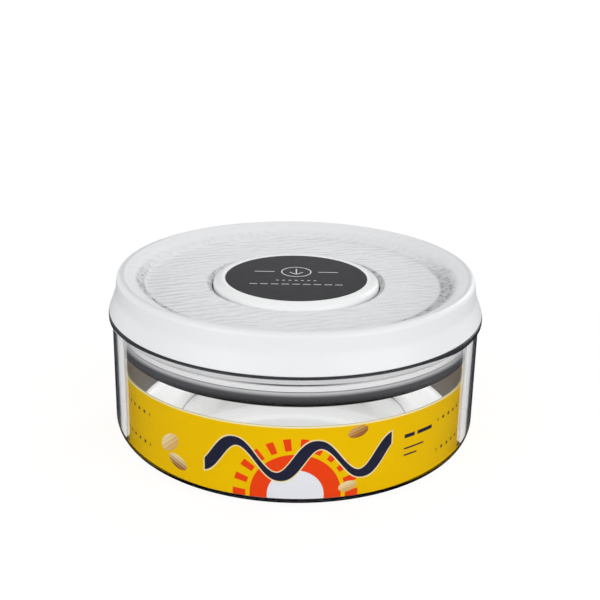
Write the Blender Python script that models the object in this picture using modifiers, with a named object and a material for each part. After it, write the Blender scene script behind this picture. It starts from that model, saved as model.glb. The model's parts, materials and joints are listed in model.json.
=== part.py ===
"""Airtight storage jar with a press-to-seal lid. Metres, +Z up, origin at the middle of the foot."""

import math

import bmesh
import bpy
from mathutils import Matrix, Vector

# Clearances and overruns that all pieces share
GAP = 0.0003
RUN_GAP = 0.0004
SINK = 0.0006
CUT = 0.0010

# Clear canister
JAR_WALL = 0.0036
JAR_HEIGHT = 0.0585
JAR_FLOOR = 0.0038
BASE_FILLET = 0.0090
FLOOR_FILLET = 0.0014
FOOT_WIDTH = 0.0100
FOOT_RECESS = 0.0008
STEP_SLOPE = 0.0010
GATE_RADIUS = 0.0350
GATE_RECESS = 0.0006
RIM_WALL = 0.0020
FLANGE_DROP = 0.0035
FLANGE_THICKNESS = 0.0016
FLANGE_INSET = 0.0004
EDGE_FILLET = 0.0004

# Printed paper sleeve
SLEEVE_THICKNESS = 0.0004
SLEEVE_GAP = 0.0010
SLEEVE_LIFT = 0.0008
SLEEVE_DROP = 0.0050

# Lower housing of the lid, a plug in the jar's mouth
PLUG_GAP = 0.0008
PLUG_DEPTH = 0.0111
PLUG_WALL = 0.0020
PLUG_STEP = 0.0005
PLUG_STEP_DROP = 0.0089
SHOULDER_THICKNESS = 0.0015
SHOULDER_REACH = 0.0001
FRAME_FLOOR = 0.0016
SPRING_RIDGE_WIDTH = 0.0014
SPRING_RIDGE_HEIGHT = 0.0014
EAR_THICKNESS = 0.0018
EAR_WIDTH = 0.0052
EAR_RISE = 0.0024

# Silicone ring between the plug, the plate and the wall
GASKET_HEIGHT = 0.0054
GASKET_DEPTH = 0.0066
GASKET_BULGE = 0.0010
GASKET_GROOVE = 0.0034

# Press button and its travel
BUTTON_RADIUS = 0.0347
BUTTON_TRAVEL = 0.0090
BUTTON_GAP = 0.0005
BUTTON_WALL = 0.0019
BUTTON_PLATE = 0.0017
BUTTON_PROUD = 0.0017
BUTTON_FLANGE = 0.0022
BUTTON_FLANGE_THICKNESS = 0.0012
BUTTON_DOME_FLAT = 0.0022
BUTTON_DOME_DROP = 0.0011
BADGE_RADIUS = 0.0290
BADGE_THICKNESS = 0.0006
STEM_RADIUS = 0.0050
STEM_SHOULDER = 0.0012

# White top shell of the lid
COVER_WALL = 0.0020
SKIRT_GAP = 0.0005
SKIRT_THICKNESS = 0.0026
SKIRT_FLARE = 0.0031
CREST_TAPER = 0.0041
DISH_DEPTH = 0.0054
CREST_WIDTH = 0.0030
CREST_FILLET = 0.0022
WAIST_DROP = 0.0069
WAIST_FILLET = 0.0120
SLOPE_WIDTH = 0.0090
SLOPE_FILLET = 0.0060
HOLE_CHAMFER = 0.0023
HOLE_CHAMFER_DROP = 0.0016
GUIDE_WALL = 0.0020
GUIDE_LIP = 0.0004
BOSS_INSET = 0.0060
BOSS_RADIUS = 0.0034

# Rocker levers that turn the button's stroke into the plate's lift
LEVER_COUNT = 4
PLATE_LIFT = 0.0030
LEVER_REACH = 0.0174
LEVER_WIDTH = 0.0040
LEVER_THICKNESS = 0.0017
LEVER_TIP = 0.0012
LEVER_TIP_REACH = 0.0019
LEVER_HUB = 0.0030
LEVER_FLOOR_ROOM = 0.0004
PIN_RADIUS = 0.0012

# Links from the levers to the plate
LINK_WIDTH = 0.0070
LINK_DEPTH = 0.0044
LINK_BAR = 0.0015
FOOT_PAD_WIDTH = 0.0090
FOOT_PAD_DEPTH = 0.0050
FOOT_PAD_HEIGHT = 0.0014

# Plate under the gasket and its food-side cover
PANEL_ROOM = 0.0023
PLATE_THICKNESS = 0.0012
COLLAR_GAP = 0.0006
PLATE_INSET = 0.0015
UNDER_COVER_THICKNESS = 0.0011
UNDER_COVER_INSET = 0.0035
CLIP_RING_WALL = 0.0016
CLIP_RING_HEIGHT = 0.0030

# Click mechanism in the middle
BARREL_BORE = 0.0096
BARREL_WALL = 0.0024
BARREL_HEADROOM = 0.0008
BARREL_FLANGE_WIDTH = 0.0070
BARREL_FLANGE_THICKNESS = 0.0013
SLOT_COUNT = 3
SLOT_RADIUS = 0.0022
SLOT_RUN_IN = 0.0013
SLOT_POINTS = 6
ROTOR_TURN = math.radians(60)
ROTOR_HEIGHT = 0.0038
LUG_RADIUS = 0.0014
LUG_RISE = 0.0034
LUG_TIP = 0.0006
WASHER_THICKNESS = 0.0010
WASHER_REACH = 0.0025

# Return spring
SPRING_RADIUS = 0.0240
SPRING_WIRE = 0.00075
SPRING_TURNS = 4.5
TURN_POINTS = 12

# Screws
SCREW_SHANK = 0.0011
SCREW_HEAD = 0.0022
SCREW_HEAD_HEIGHT = 0.0014
SCREW_GAP = 0.0003
SCREW_BITE = 0.0060

# Facets
SHELL_STEPS = 48
INNER_STEPS = 36
BORE_STEPS = 12
SCREW_STEPS = 8
LARGE_FILLET = 0.0020
LARGE_FILLET_STEP = math.radians(20)
SMALL_FILLET_STEP = math.radians(90)
SMOOTH_ANGLE = math.radians(40)

# Heights, from the jar's rim down to the plug and up through the mechanism
FLANGE_TOP = JAR_HEIGHT - FLANGE_DROP
SKIRT_BOTTOM = FLANGE_TOP + GAP
SHOULDER_BOTTOM = JAR_HEIGHT + GAP
SHOULDER_TOP = SHOULDER_BOTTOM + SHOULDER_THICKNESS
PLUG_BOTTOM = JAR_HEIGHT - PLUG_DEPTH
FLOOR_TOP = PLUG_BOTTOM + FRAME_FLOOR
TIP_Z = FLOOR_TOP + LEVER_FLOOR_ROOM + LEVER_TIP
PIVOT_Z = TIP_Z + BUTTON_TRAVEL / 2
NOSE_Z = PIVOT_Z + PLATE_LIFT / 2
BUTTON_BOTTOM = TIP_Z + LEVER_TIP + GAP
BUTTON_FLANGE_TOP = BUTTON_BOTTOM + BUTTON_FLANGE_THICKNESS
GUIDE_BOTTOM = BUTTON_FLANGE_TOP + BUTTON_TRAVEL + GAP
COVER_UNDERSIDE = GUIDE_BOTTOM + GUIDE_LIP
FIELD_Z = COVER_UNDERSIDE + COVER_WALL
CREST_Z = FIELD_Z + DISH_DEPTH
WAIST_Z = CREST_Z - WAIST_DROP
BUTTON_TOP = FIELD_Z + BUTTON_PROUD
BADGE_SEAT = BUTTON_TOP - BADGE_THICKNESS - GAP
BUTTON_UNDERSIDE = BADGE_SEAT - BUTTON_PLATE
GASKET_TOP = PLUG_BOTTOM - GAP
GASKET_BOTTOM = GASKET_TOP - GASKET_HEIGHT
PLATE_FLANGE_TOP = GASKET_BOTTOM - GAP
PLATE_FLANGE_BOTTOM = PLATE_FLANGE_TOP - PLATE_THICKNESS
PANEL_TOP = PLUG_BOTTOM - PANEL_ROOM
PANEL_BOTTOM = PANEL_TOP - PLATE_THICKNESS
UNDER_COVER_TOP = PLATE_FLANGE_BOTTOM - GAP
UNDER_COVER_BOTTOM = UNDER_COVER_TOP - UNDER_COVER_THICKNESS
BARREL_BOTTOM = FLOOR_TOP + GAP
BARREL_FLANGE_TOP = BARREL_BOTTOM + BARREL_FLANGE_THICKNESS
BARREL_TOP = BUTTON_UNDERSIDE - BARREL_HEADROOM
LUG_Z = BARREL_FLANGE_TOP + LUG_RISE
ROTOR_BOTTOM = LUG_Z - ROTOR_HEIGHT / 2
ROTOR_TOP = LUG_Z + ROTOR_HEIGHT / 2
STEM_BOTTOM = ROTOR_BOTTOM - GAP
WASHER_TOP = STEM_BOTTOM - GAP
WASHER_BOTTOM = WASHER_TOP - WASHER_THICKNESS

# Radii, from the button outwards through the levers, plate and gasket to the jar and lid
HOLE_RADIUS = BUTTON_RADIUS + BUTTON_GAP
TIP_CIRCLE = BUTTON_RADIUS + LEVER_TIP_REACH
PIVOT_CIRCLE = TIP_CIRCLE + LEVER_REACH
BOSS_CIRCLE = PIVOT_CIRCLE - BOSS_INSET
LEVER_TILT = math.atan2(BUTTON_TRAVEL / 2, LEVER_REACH)
INNER_ARM = BUTTON_TRAVEL / 2 / math.sin(LEVER_TILT)
OUTER_ARM = PLATE_LIFT / 2 / math.sin(LEVER_TILT)
LINK_CIRCLE = PIVOT_CIRCLE + OUTER_ARM * math.cos(LEVER_TILT)
CLIP_RING_BORE = LINK_CIRCLE + SCREW_HEAD + GAP
CLIP_RING_RADIUS = CLIP_RING_BORE + CLIP_RING_WALL
COLLAR_BORE = CLIP_RING_RADIUS + GAP
COLLAR_RADIUS = COLLAR_BORE + PLATE_THICKNESS
GASKET_BORE = COLLAR_RADIUS + COLLAR_GAP
GASKET_RADIUS = GASKET_BORE + GASKET_DEPTH
BORE = GASKET_RADIUS + GAP
JAR_RADIUS = BORE + JAR_WALL
RIM_RADIUS = BORE + RIM_WALL
PLATE_RADIUS = BORE - PLATE_INSET
PLUG_RADIUS = BORE - PLUG_GAP
PLUG_BORE = PLUG_RADIUS - PLUG_WALL
SHOULDER_RADIUS = RIM_RADIUS + SHOULDER_REACH
SKIRT_BORE = RIM_RADIUS + SKIRT_GAP
SKIRT_RADIUS = SKIRT_BORE + SKIRT_THICKNESS
WAIST_RADIUS = SKIRT_RADIUS - SKIRT_FLARE
CREST_RADIUS = SKIRT_RADIUS - CREST_TAPER
FLANGE_RADIUS = SKIRT_RADIUS - FLANGE_INSET
SLOPE_TOP = CREST_RADIUS - CREST_WIDTH
SLOPE_FOOT = SLOPE_TOP - SLOPE_WIDTH
ROTOR_RADIUS = BARREL_BORE - RUN_GAP
ROTOR_BORE = STEM_RADIUS + GAP
BARREL_RADIUS = BARREL_BORE + BARREL_WALL
BARREL_FLANGE_RADIUS = BARREL_RADIUS + BARREL_FLANGE_WIDTH
BARREL_SCREW_CIRCLE = (BARREL_RADIUS + BARREL_FLANGE_RADIUS) / 2
SPRING_CHORD_RADIUS = SPRING_RADIUS * math.cos(math.pi / TURN_POINTS)
SPRING_RIDGE_RADIUS = SPRING_CHORD_RADIUS - SPRING_WIRE - RUN_GAP
SCREW_BORE = SCREW_SHANK + SCREW_GAP
PIN_BORE = PIN_RADIUS + GAP
WINDOW_WIDTH = LEVER_WIDTH + 2 * RUN_GAP
WINDOW_HEIGHT = 2 * (LEVER_TIP + GAP)

# Directions around the axis
LEVER_TURNS = [2 * math.pi * i / LEVER_COUNT for i in range(LEVER_COUNT)]
BOSS_TURNS = [turn + math.pi / LEVER_COUNT for turn in LEVER_TURNS]
SLOT_TURNS = [2 * math.pi * i / SLOT_COUNT for i in range(SLOT_COUNT)]

# Colour, roughness, metallic and opacity of each material
FINISHES = {
    "clear_plastic": ((0.93, 0.95, 0.96), 0.05, 0.0, 0.25),
    "printed_paper": ((0.67, 0.44, 0.005), 0.55, 0.0, 1.0),
    "white_plastic": ((0.85, 0.86, 0.87), 0.35, 0.0, 1.0),
    "dark_badge": ((0.05, 0.05, 0.055), 0.40, 0.0, 1.0),
    "grey_silicone": ((0.22, 0.22, 0.23), 0.50, 0.0, 1.0),
    "inner_plastic": ((0.75, 0.76, 0.77), 0.45, 0.0, 1.0),
    "steel": ((0.60, 0.61, 0.62), 0.30, 1.0, 1.0),
}


def clear_scene():
    for thing in list(bpy.data.objects):
        bpy.data.objects.remove(thing, do_unlink=True)


def new_collection(name):
    collection = bpy.data.collections.new(name)
    bpy.context.scene.collection.children.link(collection)
    return collection


def new_material(name):
    colour, roughness, metallic, opacity = FINISHES[name]
    material = bpy.data.materials.new(name)
    material.use_nodes = True
    shader = material.node_tree.nodes["Principled BSDF"]
    shader.inputs["Base Color"].default_value = (*colour, 1)
    shader.inputs["Roughness"].default_value = roughness
    shader.inputs["Metallic"].default_value = metallic
    shader.inputs["Alpha"].default_value = opacity
    return material


def new_object(name, mesh, collection):
    thing = bpy.data.objects.new(name, mesh)
    collection.objects.link(thing)
    return thing


def new_empty(name, collection):
    """Empty on the joint axis, the parent of the pieces that move together."""
    thing = new_object(name, None, collection)
    thing.empty_display_size = JAR_FLOOR
    return thing


def add_part(thing, material, parent=None):
    """Give a piece its material and its parent, and shade it smooth but for its edges."""
    mesh = thing.data
    mesh.materials.clear()
    mesh.materials.append(material)
    thing.parent = parent
    return thing


def rounded(corners, closed):
    """Outline through corners given as (radius, height, fillet), with each fillet as an arc."""
    points = []
    last = len(corners) - 1
    for i, (x, z, fillet) in enumerate(corners):
        corner = Vector((x, z))
        if not fillet or (not closed and i in (0, last)):
            points.append(corner)
            continue
        back = (Vector(corners[i - 1][:2]) - corner).normalized()
        ahead = (Vector(corners[(i + 1) % len(corners)][:2]) - corner).normalized()
        half = back.angle(ahead) / 2
        centre = corner + (back + ahead).normalized() * fillet / math.sin(half)
        start = corner + back * fillet / math.tan(half) - centre
        sweep = back.angle_signed(ahead)
        sweep -= math.copysign(math.pi, sweep)
        step = LARGE_FILLET_STEP if fillet > LARGE_FILLET else SMALL_FILLET_STEP
        count = max(1, round(abs(sweep) / step))
        for k in range(count + 1):
            points.append(centre + Matrix.Rotation(-sweep * k / count, 2) @ start)
    return points


def turned(name, corners, collection, steps=INNER_STEPS, closed=True):
    """Round piece: an outline at +X, turned about Z by a Screw modifier."""
    points = rounded(corners, closed)
    links = [(i, i + 1) for i in range(len(points) - 1)]
    if closed:
        links.append((len(points) - 1, 0))
    mesh = bpy.data.meshes.new(name)
    mesh.from_pydata([(p.x, 0, p.y) for p in points], links, [])
    thing = new_object(name, mesh, collection)
    screw = thing.modifiers.new("Turn", "SCREW")
    screw.axis = "Z"
    screw.steps = steps
    screw.render_steps = steps
    screw.use_merge_vertices = True
    screw.merge_threshold = 0.00001
    return thing


def block(name, size, centre, collection, turn=0.0):
    """Box of the given size around a centre, both turned about Z."""
    mesh = bpy.data.meshes.new(name)
    shape = bmesh.new()
    bmesh.ops.create_cube(shape, size=1)
    bmesh.ops.scale(shape, vec=size, verts=shape.verts)
    bmesh.ops.translate(shape, vec=centre, verts=shape.verts)
    bmesh.ops.rotate(shape, cent=(0, 0, 0), matrix=Matrix.Rotation(turn, 3, "Z"), verts=shape.verts)
    shape.to_mesh(mesh)
    shape.free()
    return new_object(name, mesh, collection)


def rod(name, radius, start, end, collection, steps=BORE_STEPS):
    """Cylinder from one point to another."""
    start = Vector(start)
    along = Vector(end) - start
    mesh = bpy.data.meshes.new(name)
    shape = bmesh.new()
    bmesh.ops.create_cone(
        shape,
        cap_ends=True,
        segments=steps,
        radius1=radius,
        radius2=radius,
        depth=along.length,
    )
    turn = Vector((0, 0, 1)).rotation_difference(along)
    place = Matrix.Translation(start + along / 2) @ turn.to_matrix().to_4x4()
    bmesh.ops.transform(shape, matrix=place, verts=shape.verts)
    shape.to_mesh(mesh)
    shape.free()
    return new_object(name, mesh, collection)


def combine(thing, tool, operation):
    """Join a tool to a piece or cut it out, and keep the tool out of sight."""
    tool.hide_render = True
    tool.display_type = "WIRE"
    boolean = thing.modifiers.new(tool.name, "BOOLEAN")
    boolean.operation = operation
    boolean.solver = "EXACT"
    boolean.object = tool


def finish_mesh(thing):
    """Apply a piece's modifiers, merge doubled points and shade it smooth between its edges."""
    bpy.context.view_layer.update()
    graph = bpy.context.evaluated_depsgraph_get()
    mesh = bpy.data.meshes.new_from_object(thing.evaluated_get(graph))
    thing.modifiers.clear()
    thing.data = mesh
    mesh.name = thing.name
    mesh.shade_smooth()
    mesh.set_sharp_from_angle(angle=SMOOTH_ANGLE)
    return thing


def around(radius, turn, height):
    return Vector((radius * math.cos(turn), radius * math.sin(turn), height))


def add_screws(names, places, head_bottom, tip, collection, material, parent):
    """Equal screws, heads down, that share one mesh."""
    head_top = head_bottom + SCREW_HEAD_HEIGHT
    corners = [
        (0, tip - head_bottom, 0),
        (SCREW_SHANK, tip - head_bottom, 0),
        (SCREW_SHANK, head_top - head_bottom, 0),
        (SCREW_HEAD, head_top - head_bottom, 0),
        (SCREW_HEAD, 0, 0),
        (0, 0, 0),
    ]
    first = finish_mesh(turned(names[0], corners, collection, SCREW_STEPS, closed=False))
    for name, place in zip(names, places):
        screw = first if name == names[0] else new_object(name, first.data, collection)
        screw.location = place + Vector((0, 0, head_bottom))
        add_part(screw, material, parent)


def build_jar(parts):
    foot_inner = JAR_RADIUS - BASE_FILLET - FOOT_WIDTH
    inner_floor = FOOT_RECESS + GATE_RECESS
    corners = [
        (0, JAR_FLOOR, 0),
        (BORE, JAR_FLOOR, FLOOR_FILLET),
        (BORE, JAR_HEIGHT, EDGE_FILLET),
        (RIM_RADIUS, JAR_HEIGHT, EDGE_FILLET),
        (RIM_RADIUS, FLANGE_TOP, 0),
        (FLANGE_RADIUS, FLANGE_TOP, EDGE_FILLET),
        (FLANGE_RADIUS, FLANGE_TOP - FLANGE_THICKNESS, EDGE_FILLET),
        (JAR_RADIUS, FLANGE_TOP - FLANGE_THICKNESS, 0),
        (JAR_RADIUS, 0, BASE_FILLET),
        (foot_inner, 0, 0),
        (foot_inner - STEP_SLOPE, FOOT_RECESS, 0),
        (GATE_RADIUS, FOOT_RECESS, 0),
        (GATE_RADIUS - STEP_SLOPE, inner_floor, 0),
        (0, inner_floor, 0),
    ]
    return finish_mesh(turned("jar_body", corners, parts, SHELL_STEPS, closed=False))


def build_sleeve(parts):
    outer = BORE - SLEEVE_GAP
    inner = outer - SLEEVE_THICKNESS
    bottom = JAR_FLOOR + SLEEVE_LIFT
    top = UNDER_COVER_BOTTOM - SLEEVE_DROP
    corners = [(outer, top, 0), (outer, bottom, 0), (inner, bottom, 0), (inner, top, 0)]
    return finish_mesh(turned("label_sleeve", corners, parts, SHELL_STEPS))


def build_cover(parts, tools):
    shoulder_top = SHOULDER_TOP + GAP
    corners = [
        (HOLE_RADIUS + HOLE_CHAMFER, FIELD_Z, 0),
        (SLOPE_FOOT, FIELD_Z, SLOPE_FILLET),
        (SLOPE_TOP, CREST_Z, CREST_FILLET),
        (CREST_RADIUS, CREST_Z, CREST_FILLET),
        (WAIST_RADIUS, WAIST_Z, WAIST_FILLET),
        (SKIRT_RADIUS, SKIRT_BOTTOM, EDGE_FILLET),
        (SKIRT_BORE, SKIRT_BOTTOM, EDGE_FILLET),
        (SKIRT_BORE, shoulder_top, 0),
        (WAIST_RADIUS - COVER_WALL, WAIST_Z, 0),
        (CREST_RADIUS - COVER_WALL, CREST_Z - COVER_WALL, 0),
        (SLOPE_TOP + EDGE_FILLET, CREST_Z - COVER_WALL, 0),
        (SLOPE_FOOT + EDGE_FILLET, COVER_UNDERSIDE, 0),
        (HOLE_RADIUS + GUIDE_WALL, COVER_UNDERSIDE, 0),
        (HOLE_RADIUS + GUIDE_WALL, GUIDE_BOTTOM, 0),
        (HOLE_RADIUS, GUIDE_BOTTOM, 0),
        (HOLE_RADIUS, FIELD_Z - HOLE_CHAMFER_DROP, 0),
    ]
    cover = turned("lid_cover", corners, parts, SHELL_STEPS)
    for i, turn in enumerate(BOSS_TURNS):
        foot = around(BOSS_CIRCLE, turn, FLOOR_TOP + GAP)
        head = around(BOSS_CIRCLE, turn, COVER_UNDERSIDE + SINK)
        combine(cover, rod(f"cover_boss_{i}", BOSS_RADIUS, foot, head, tools), "UNION")
    for i, turn in enumerate(BOSS_TURNS):
        mouth = around(BOSS_CIRCLE, turn, FLOOR_TOP - CUT)
        end = around(BOSS_CIRCLE, turn, FLOOR_TOP + SCREW_BITE + CUT)
        combine(cover, rod(f"cover_bore_{i}", SCREW_BORE, mouth, end, tools, SCREW_STEPS), "DIFFERENCE")
    return finish_mesh(cover)


def build_frame(parts, tools):
    step_z = SHOULDER_BOTTOM - PLUG_STEP_DROP
    corners = [
        (SHOULDER_RADIUS, SHOULDER_TOP, 0),
        (SHOULDER_RADIUS, SHOULDER_BOTTOM, 0),
        (PLUG_RADIUS, SHOULDER_BOTTOM, 0),
        (PLUG_RADIUS, step_z, 0),
        (PLUG_RADIUS - PLUG_STEP, step_z - PLUG_STEP, 0),
        (PLUG_RADIUS - PLUG_STEP, PLUG_BOTTOM, EDGE_FILLET),
        (BARREL_BORE, PLUG_BOTTOM, 0),
        (BARREL_BORE, FLOOR_TOP, 0),
        (SPRING_RIDGE_RADIUS - SPRING_RIDGE_WIDTH, FLOOR_TOP, 0),
        (SPRING_RIDGE_RADIUS - SPRING_RIDGE_WIDTH, FLOOR_TOP + SPRING_RIDGE_HEIGHT, 0),
        (SPRING_RIDGE_RADIUS, FLOOR_TOP + SPRING_RIDGE_HEIGHT, 0),
        (SPRING_RIDGE_RADIUS, FLOOR_TOP, 0),
        (PLUG_BORE, FLOOR_TOP, EDGE_FILLET),
        (PLUG_BORE, SHOULDER_TOP, 0),
    ]
    frame = turned("inner_frame", corners, parts, SHELL_STEPS)
    ear_top = PIVOT_Z + EAR_RISE
    ear_size = (EAR_WIDTH, EAR_THICKNESS, ear_top - FLOOR_TOP + SINK)
    ear_offset = LEVER_WIDTH / 2 + RUN_GAP + EAR_THICKNESS / 2
    for i, turn in enumerate(LEVER_TURNS):
        for side in (-1, 1):
            centre = (PIVOT_CIRCLE, side * ear_offset, (ear_top + FLOOR_TOP - SINK) / 2)
            combine(frame, block(f"ear_{i}_{side}", ear_size, centre, tools, turn), "UNION")
    for i, turn in enumerate(LEVER_TURNS):
        across = around(ear_offset + EAR_THICKNESS, turn + math.pi / 2, 0)
        pivot = around(PIVOT_CIRCLE, turn, PIVOT_Z)
        combine(frame, rod(f"pin_bore_{i}", PIN_BORE, pivot - across, pivot + across, tools), "DIFFERENCE")
        slot_size = (LINK_DEPTH + 2 * RUN_GAP, LINK_WIDTH + 2 * RUN_GAP, FRAME_FLOOR + 2 * CUT)
        slot_centre = (LINK_CIRCLE, 0, (PLUG_BOTTOM + FLOOR_TOP) / 2)
        combine(frame, block(f"link_slot_{i}", slot_size, slot_centre, tools, turn), "DIFFERENCE")
    places = [around(BOSS_CIRCLE, turn, 0) for turn in BOSS_TURNS]
    places += [around(BARREL_SCREW_CIRCLE, turn, 0) for turn in SLOT_TURNS]
    for i, place in enumerate(places):
        low = place + Vector((0, 0, PLUG_BOTTOM - CUT))
        high = place + Vector((0, 0, FLOOR_TOP + CUT))
        combine(frame, rod(f"frame_bore_{i}", SCREW_BORE, low, high, tools, SCREW_STEPS), "DIFFERENCE")
    return finish_mesh(frame)


def build_gasket(parts):
    middle = (GASKET_TOP + GASKET_BOTTOM) / 2
    quarter = GASKET_HEIGHT / 4
    corners = [
        (GASKET_RADIUS - GASKET_BULGE, GASKET_TOP, EDGE_FILLET),
        (GASKET_RADIUS, middle + quarter, EDGE_FILLET),
        (GASKET_RADIUS, middle - quarter, EDGE_FILLET),
        (GASKET_RADIUS - GASKET_BULGE, GASKET_BOTTOM, EDGE_FILLET),
        (GASKET_BORE, GASKET_BOTTOM, 0),
        (GASKET_BORE, middle - quarter, 0),
        (GASKET_BORE + GASKET_GROOVE, middle, 0),
        (GASKET_BORE, middle + quarter, 0),
        (GASKET_BORE, GASKET_TOP, 0),
    ]
    return finish_mesh(turned("gasket", corners, parts, SHELL_STEPS))


def build_plate(parts, tools):
    corners = [
        (0, PANEL_TOP, 0),
        (COLLAR_RADIUS, PANEL_TOP, EDGE_FILLET),
        (COLLAR_RADIUS, PLATE_FLANGE_TOP, 0),
        (PLATE_RADIUS, PLATE_FLANGE_TOP, 0),
        (PLATE_RADIUS, PLATE_FLANGE_BOTTOM, EDGE_FILLET),
        (COLLAR_BORE, PLATE_FLANGE_BOTTOM, 0),
        (COLLAR_BORE, PANEL_BOTTOM, 0),
        (0, PANEL_BOTTOM, 0),
    ]
    plate = turned("pressure_plate", corners, parts, closed=False)
    for i, turn in enumerate(LEVER_TURNS):
        low = around(LINK_CIRCLE, turn, PANEL_BOTTOM - CUT)
        high = around(LINK_CIRCLE, turn, PANEL_TOP + CUT)
        combine(plate, rod(f"plate_bore_{i}", SCREW_BORE, low, high, tools, SCREW_STEPS), "DIFFERENCE")
    return finish_mesh(plate)


def build_under_cover(parts):
    edge = BORE - UNDER_COVER_INSET
    corners = [
        (0, UNDER_COVER_TOP, 0),
        (CLIP_RING_BORE, UNDER_COVER_TOP, 0),
        (CLIP_RING_BORE, UNDER_COVER_TOP + CLIP_RING_HEIGHT, 0),
        (CLIP_RING_RADIUS, UNDER_COVER_TOP + CLIP_RING_HEIGHT, 0),
        (CLIP_RING_RADIUS, UNDER_COVER_TOP, 0),
        (edge, UNDER_COVER_TOP, 0),
        (edge, UNDER_COVER_BOTTOM, EDGE_FILLET),
        (0, UNDER_COVER_BOTTOM, 0),
    ]
    return finish_mesh(turned("bottom_cover", corners, parts, closed=False))


def build_button(parts):
    flange = BUTTON_RADIUS + BUTTON_FLANGE
    recess = BADGE_RADIUS + GAP
    wall = BUTTON_RADIUS - BUTTON_WALL
    bore_end = STEM_BOTTOM + SCREW_BITE + CUT
    corners = [
        (0, BADGE_SEAT, 0),
        (recess, BADGE_SEAT, 0),
        (recess, BUTTON_TOP, 0),
        (recess + BUTTON_DOME_FLAT, BUTTON_TOP, BUTTON_DOME_FLAT),
        (BUTTON_RADIUS, BUTTON_TOP - BUTTON_DOME_DROP, BUTTON_DOME_DROP),
        (BUTTON_RADIUS, BUTTON_FLANGE_TOP, 0),
        (flange, BUTTON_FLANGE_TOP, 0),
        (flange, BUTTON_BOTTOM, 0),
        (wall, BUTTON_BOTTOM, 0),
        (wall, BUTTON_UNDERSIDE, 0),
        (STEM_RADIUS + STEM_SHOULDER, BUTTON_UNDERSIDE, 0),
        (STEM_RADIUS + STEM_SHOULDER, ROTOR_TOP + GAP, 0),
        (STEM_RADIUS, ROTOR_TOP + GAP, 0),
        (STEM_RADIUS, STEM_BOTTOM, 0),
        (SCREW_BORE, STEM_BOTTOM, 0),
        (SCREW_BORE, bore_end, 0),
        (0, bore_end, 0),
    ]
    return finish_mesh(turned("push_button", corners, parts, closed=False))


def build_badge(parts):
    bottom = BADGE_SEAT + GAP
    corners = [
        (0, BUTTON_TOP, 0),
        (BADGE_RADIUS, BUTTON_TOP, 0),
        (BADGE_RADIUS, bottom, 0),
        (0, bottom, 0),
    ]
    return finish_mesh(turned("button_badge", corners, parts, closed=False))


def build_spring(parts):
    """Open coil that lifts the button, as one tube along a helix."""
    bottom = FLOOR_TOP + GAP + SPRING_WIRE
    top = BUTTON_UNDERSIDE - GAP - SPRING_WIRE
    count = round(SPRING_TURNS * TURN_POINTS)
    curve = bpy.data.curves.new("return_spring", "CURVE")
    curve.dimensions = "3D"
    curve.bevel_depth = SPRING_WIRE
    curve.bevel_resolution = 1
    curve.use_fill_caps = True
    line = curve.splines.new("POLY")
    line.points.add(count)
    for i, point in enumerate(line.points):
        share = i / count
        place = around(SPRING_RADIUS, 2 * math.pi * SPRING_TURNS * share, bottom + (top - bottom) * share)
        point.co = (*place, 1)
    return solid_from_curve("return_spring", curve, parts)


def solid_from_curve(name, curve, collection):
    """Mesh of a bevelled curve with its end caps welded on."""
    guide = new_object(name, curve, collection)
    bpy.context.view_layer.update()
    graph = bpy.context.evaluated_depsgraph_get()
    mesh = bpy.data.meshes.new_from_object(guide.evaluated_get(graph))
    place = guide.matrix_world.copy()
    bpy.data.objects.remove(guide, do_unlink=True)
    shape = bmesh.new()
    shape.from_mesh(mesh)
    bmesh.ops.remove_doubles(shape, verts=shape.verts, dist=0.00001)
    bmesh.ops.recalc_face_normals(shape, faces=shape.faces)
    shape.to_mesh(mesh)
    shape.free()
    mesh.shade_smooth()
    mesh.set_sharp_from_angle(angle=SMOOTH_ANGLE)
    thing = new_object(name, mesh, collection)
    thing.matrix_world = place
    return thing


def build_barrel(parts, tools):
    """Fixed barrel whose helical slots turn the rotor as the button rises."""
    corners = [
        (BARREL_RADIUS, BARREL_TOP, 0),
        (BARREL_RADIUS, BARREL_FLANGE_TOP, 0),
        (BARREL_FLANGE_RADIUS, BARREL_FLANGE_TOP, 0),
        (BARREL_FLANGE_RADIUS, BARREL_BOTTOM, 0),
        (BARREL_BORE, BARREL_BOTTOM, 0),
        (BARREL_BORE, BARREL_TOP, 0),
    ]
    barrel = turned("cam_barrel", corners, parts)
    start = LUG_Z - SLOT_RUN_IN
    end = BARREL_TOP + SLOT_RADIUS + CUT
    radius = BARREL_BORE + BARREL_WALL / 2
    for i, turn in enumerate(SLOT_TURNS):
        curve = bpy.data.curves.new(f"cam_slot_{i}", "CURVE")
        curve.dimensions = "3D"
        curve.bevel_depth = SLOT_RADIUS
        curve.bevel_resolution = 2
        curve.use_fill_caps = True
        line = curve.splines.new("POLY")
        line.points.add(SLOT_POINTS)
        for k, point in enumerate(line.points):
            height = start + (end - start) * k / SLOT_POINTS
            twist = ROTOR_TURN * (height - LUG_Z) / BUTTON_TRAVEL
            point.co = (*around(radius, turn + twist, height), 1)
        combine(barrel, solid_from_curve(f"cam_slot_{i}", curve, tools), "DIFFERENCE")
    for i, turn in enumerate(SLOT_TURNS):
        low = around(BARREL_SCREW_CIRCLE, turn, BARREL_BOTTOM - CUT)
        high = around(BARREL_SCREW_CIRCLE, turn, BARREL_FLANGE_TOP + CUT)
        combine(barrel, rod(f"barrel_bore_{i}", SCREW_BORE, low, high, tools, SCREW_STEPS), "DIFFERENCE")
    return finish_mesh(barrel)


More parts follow.
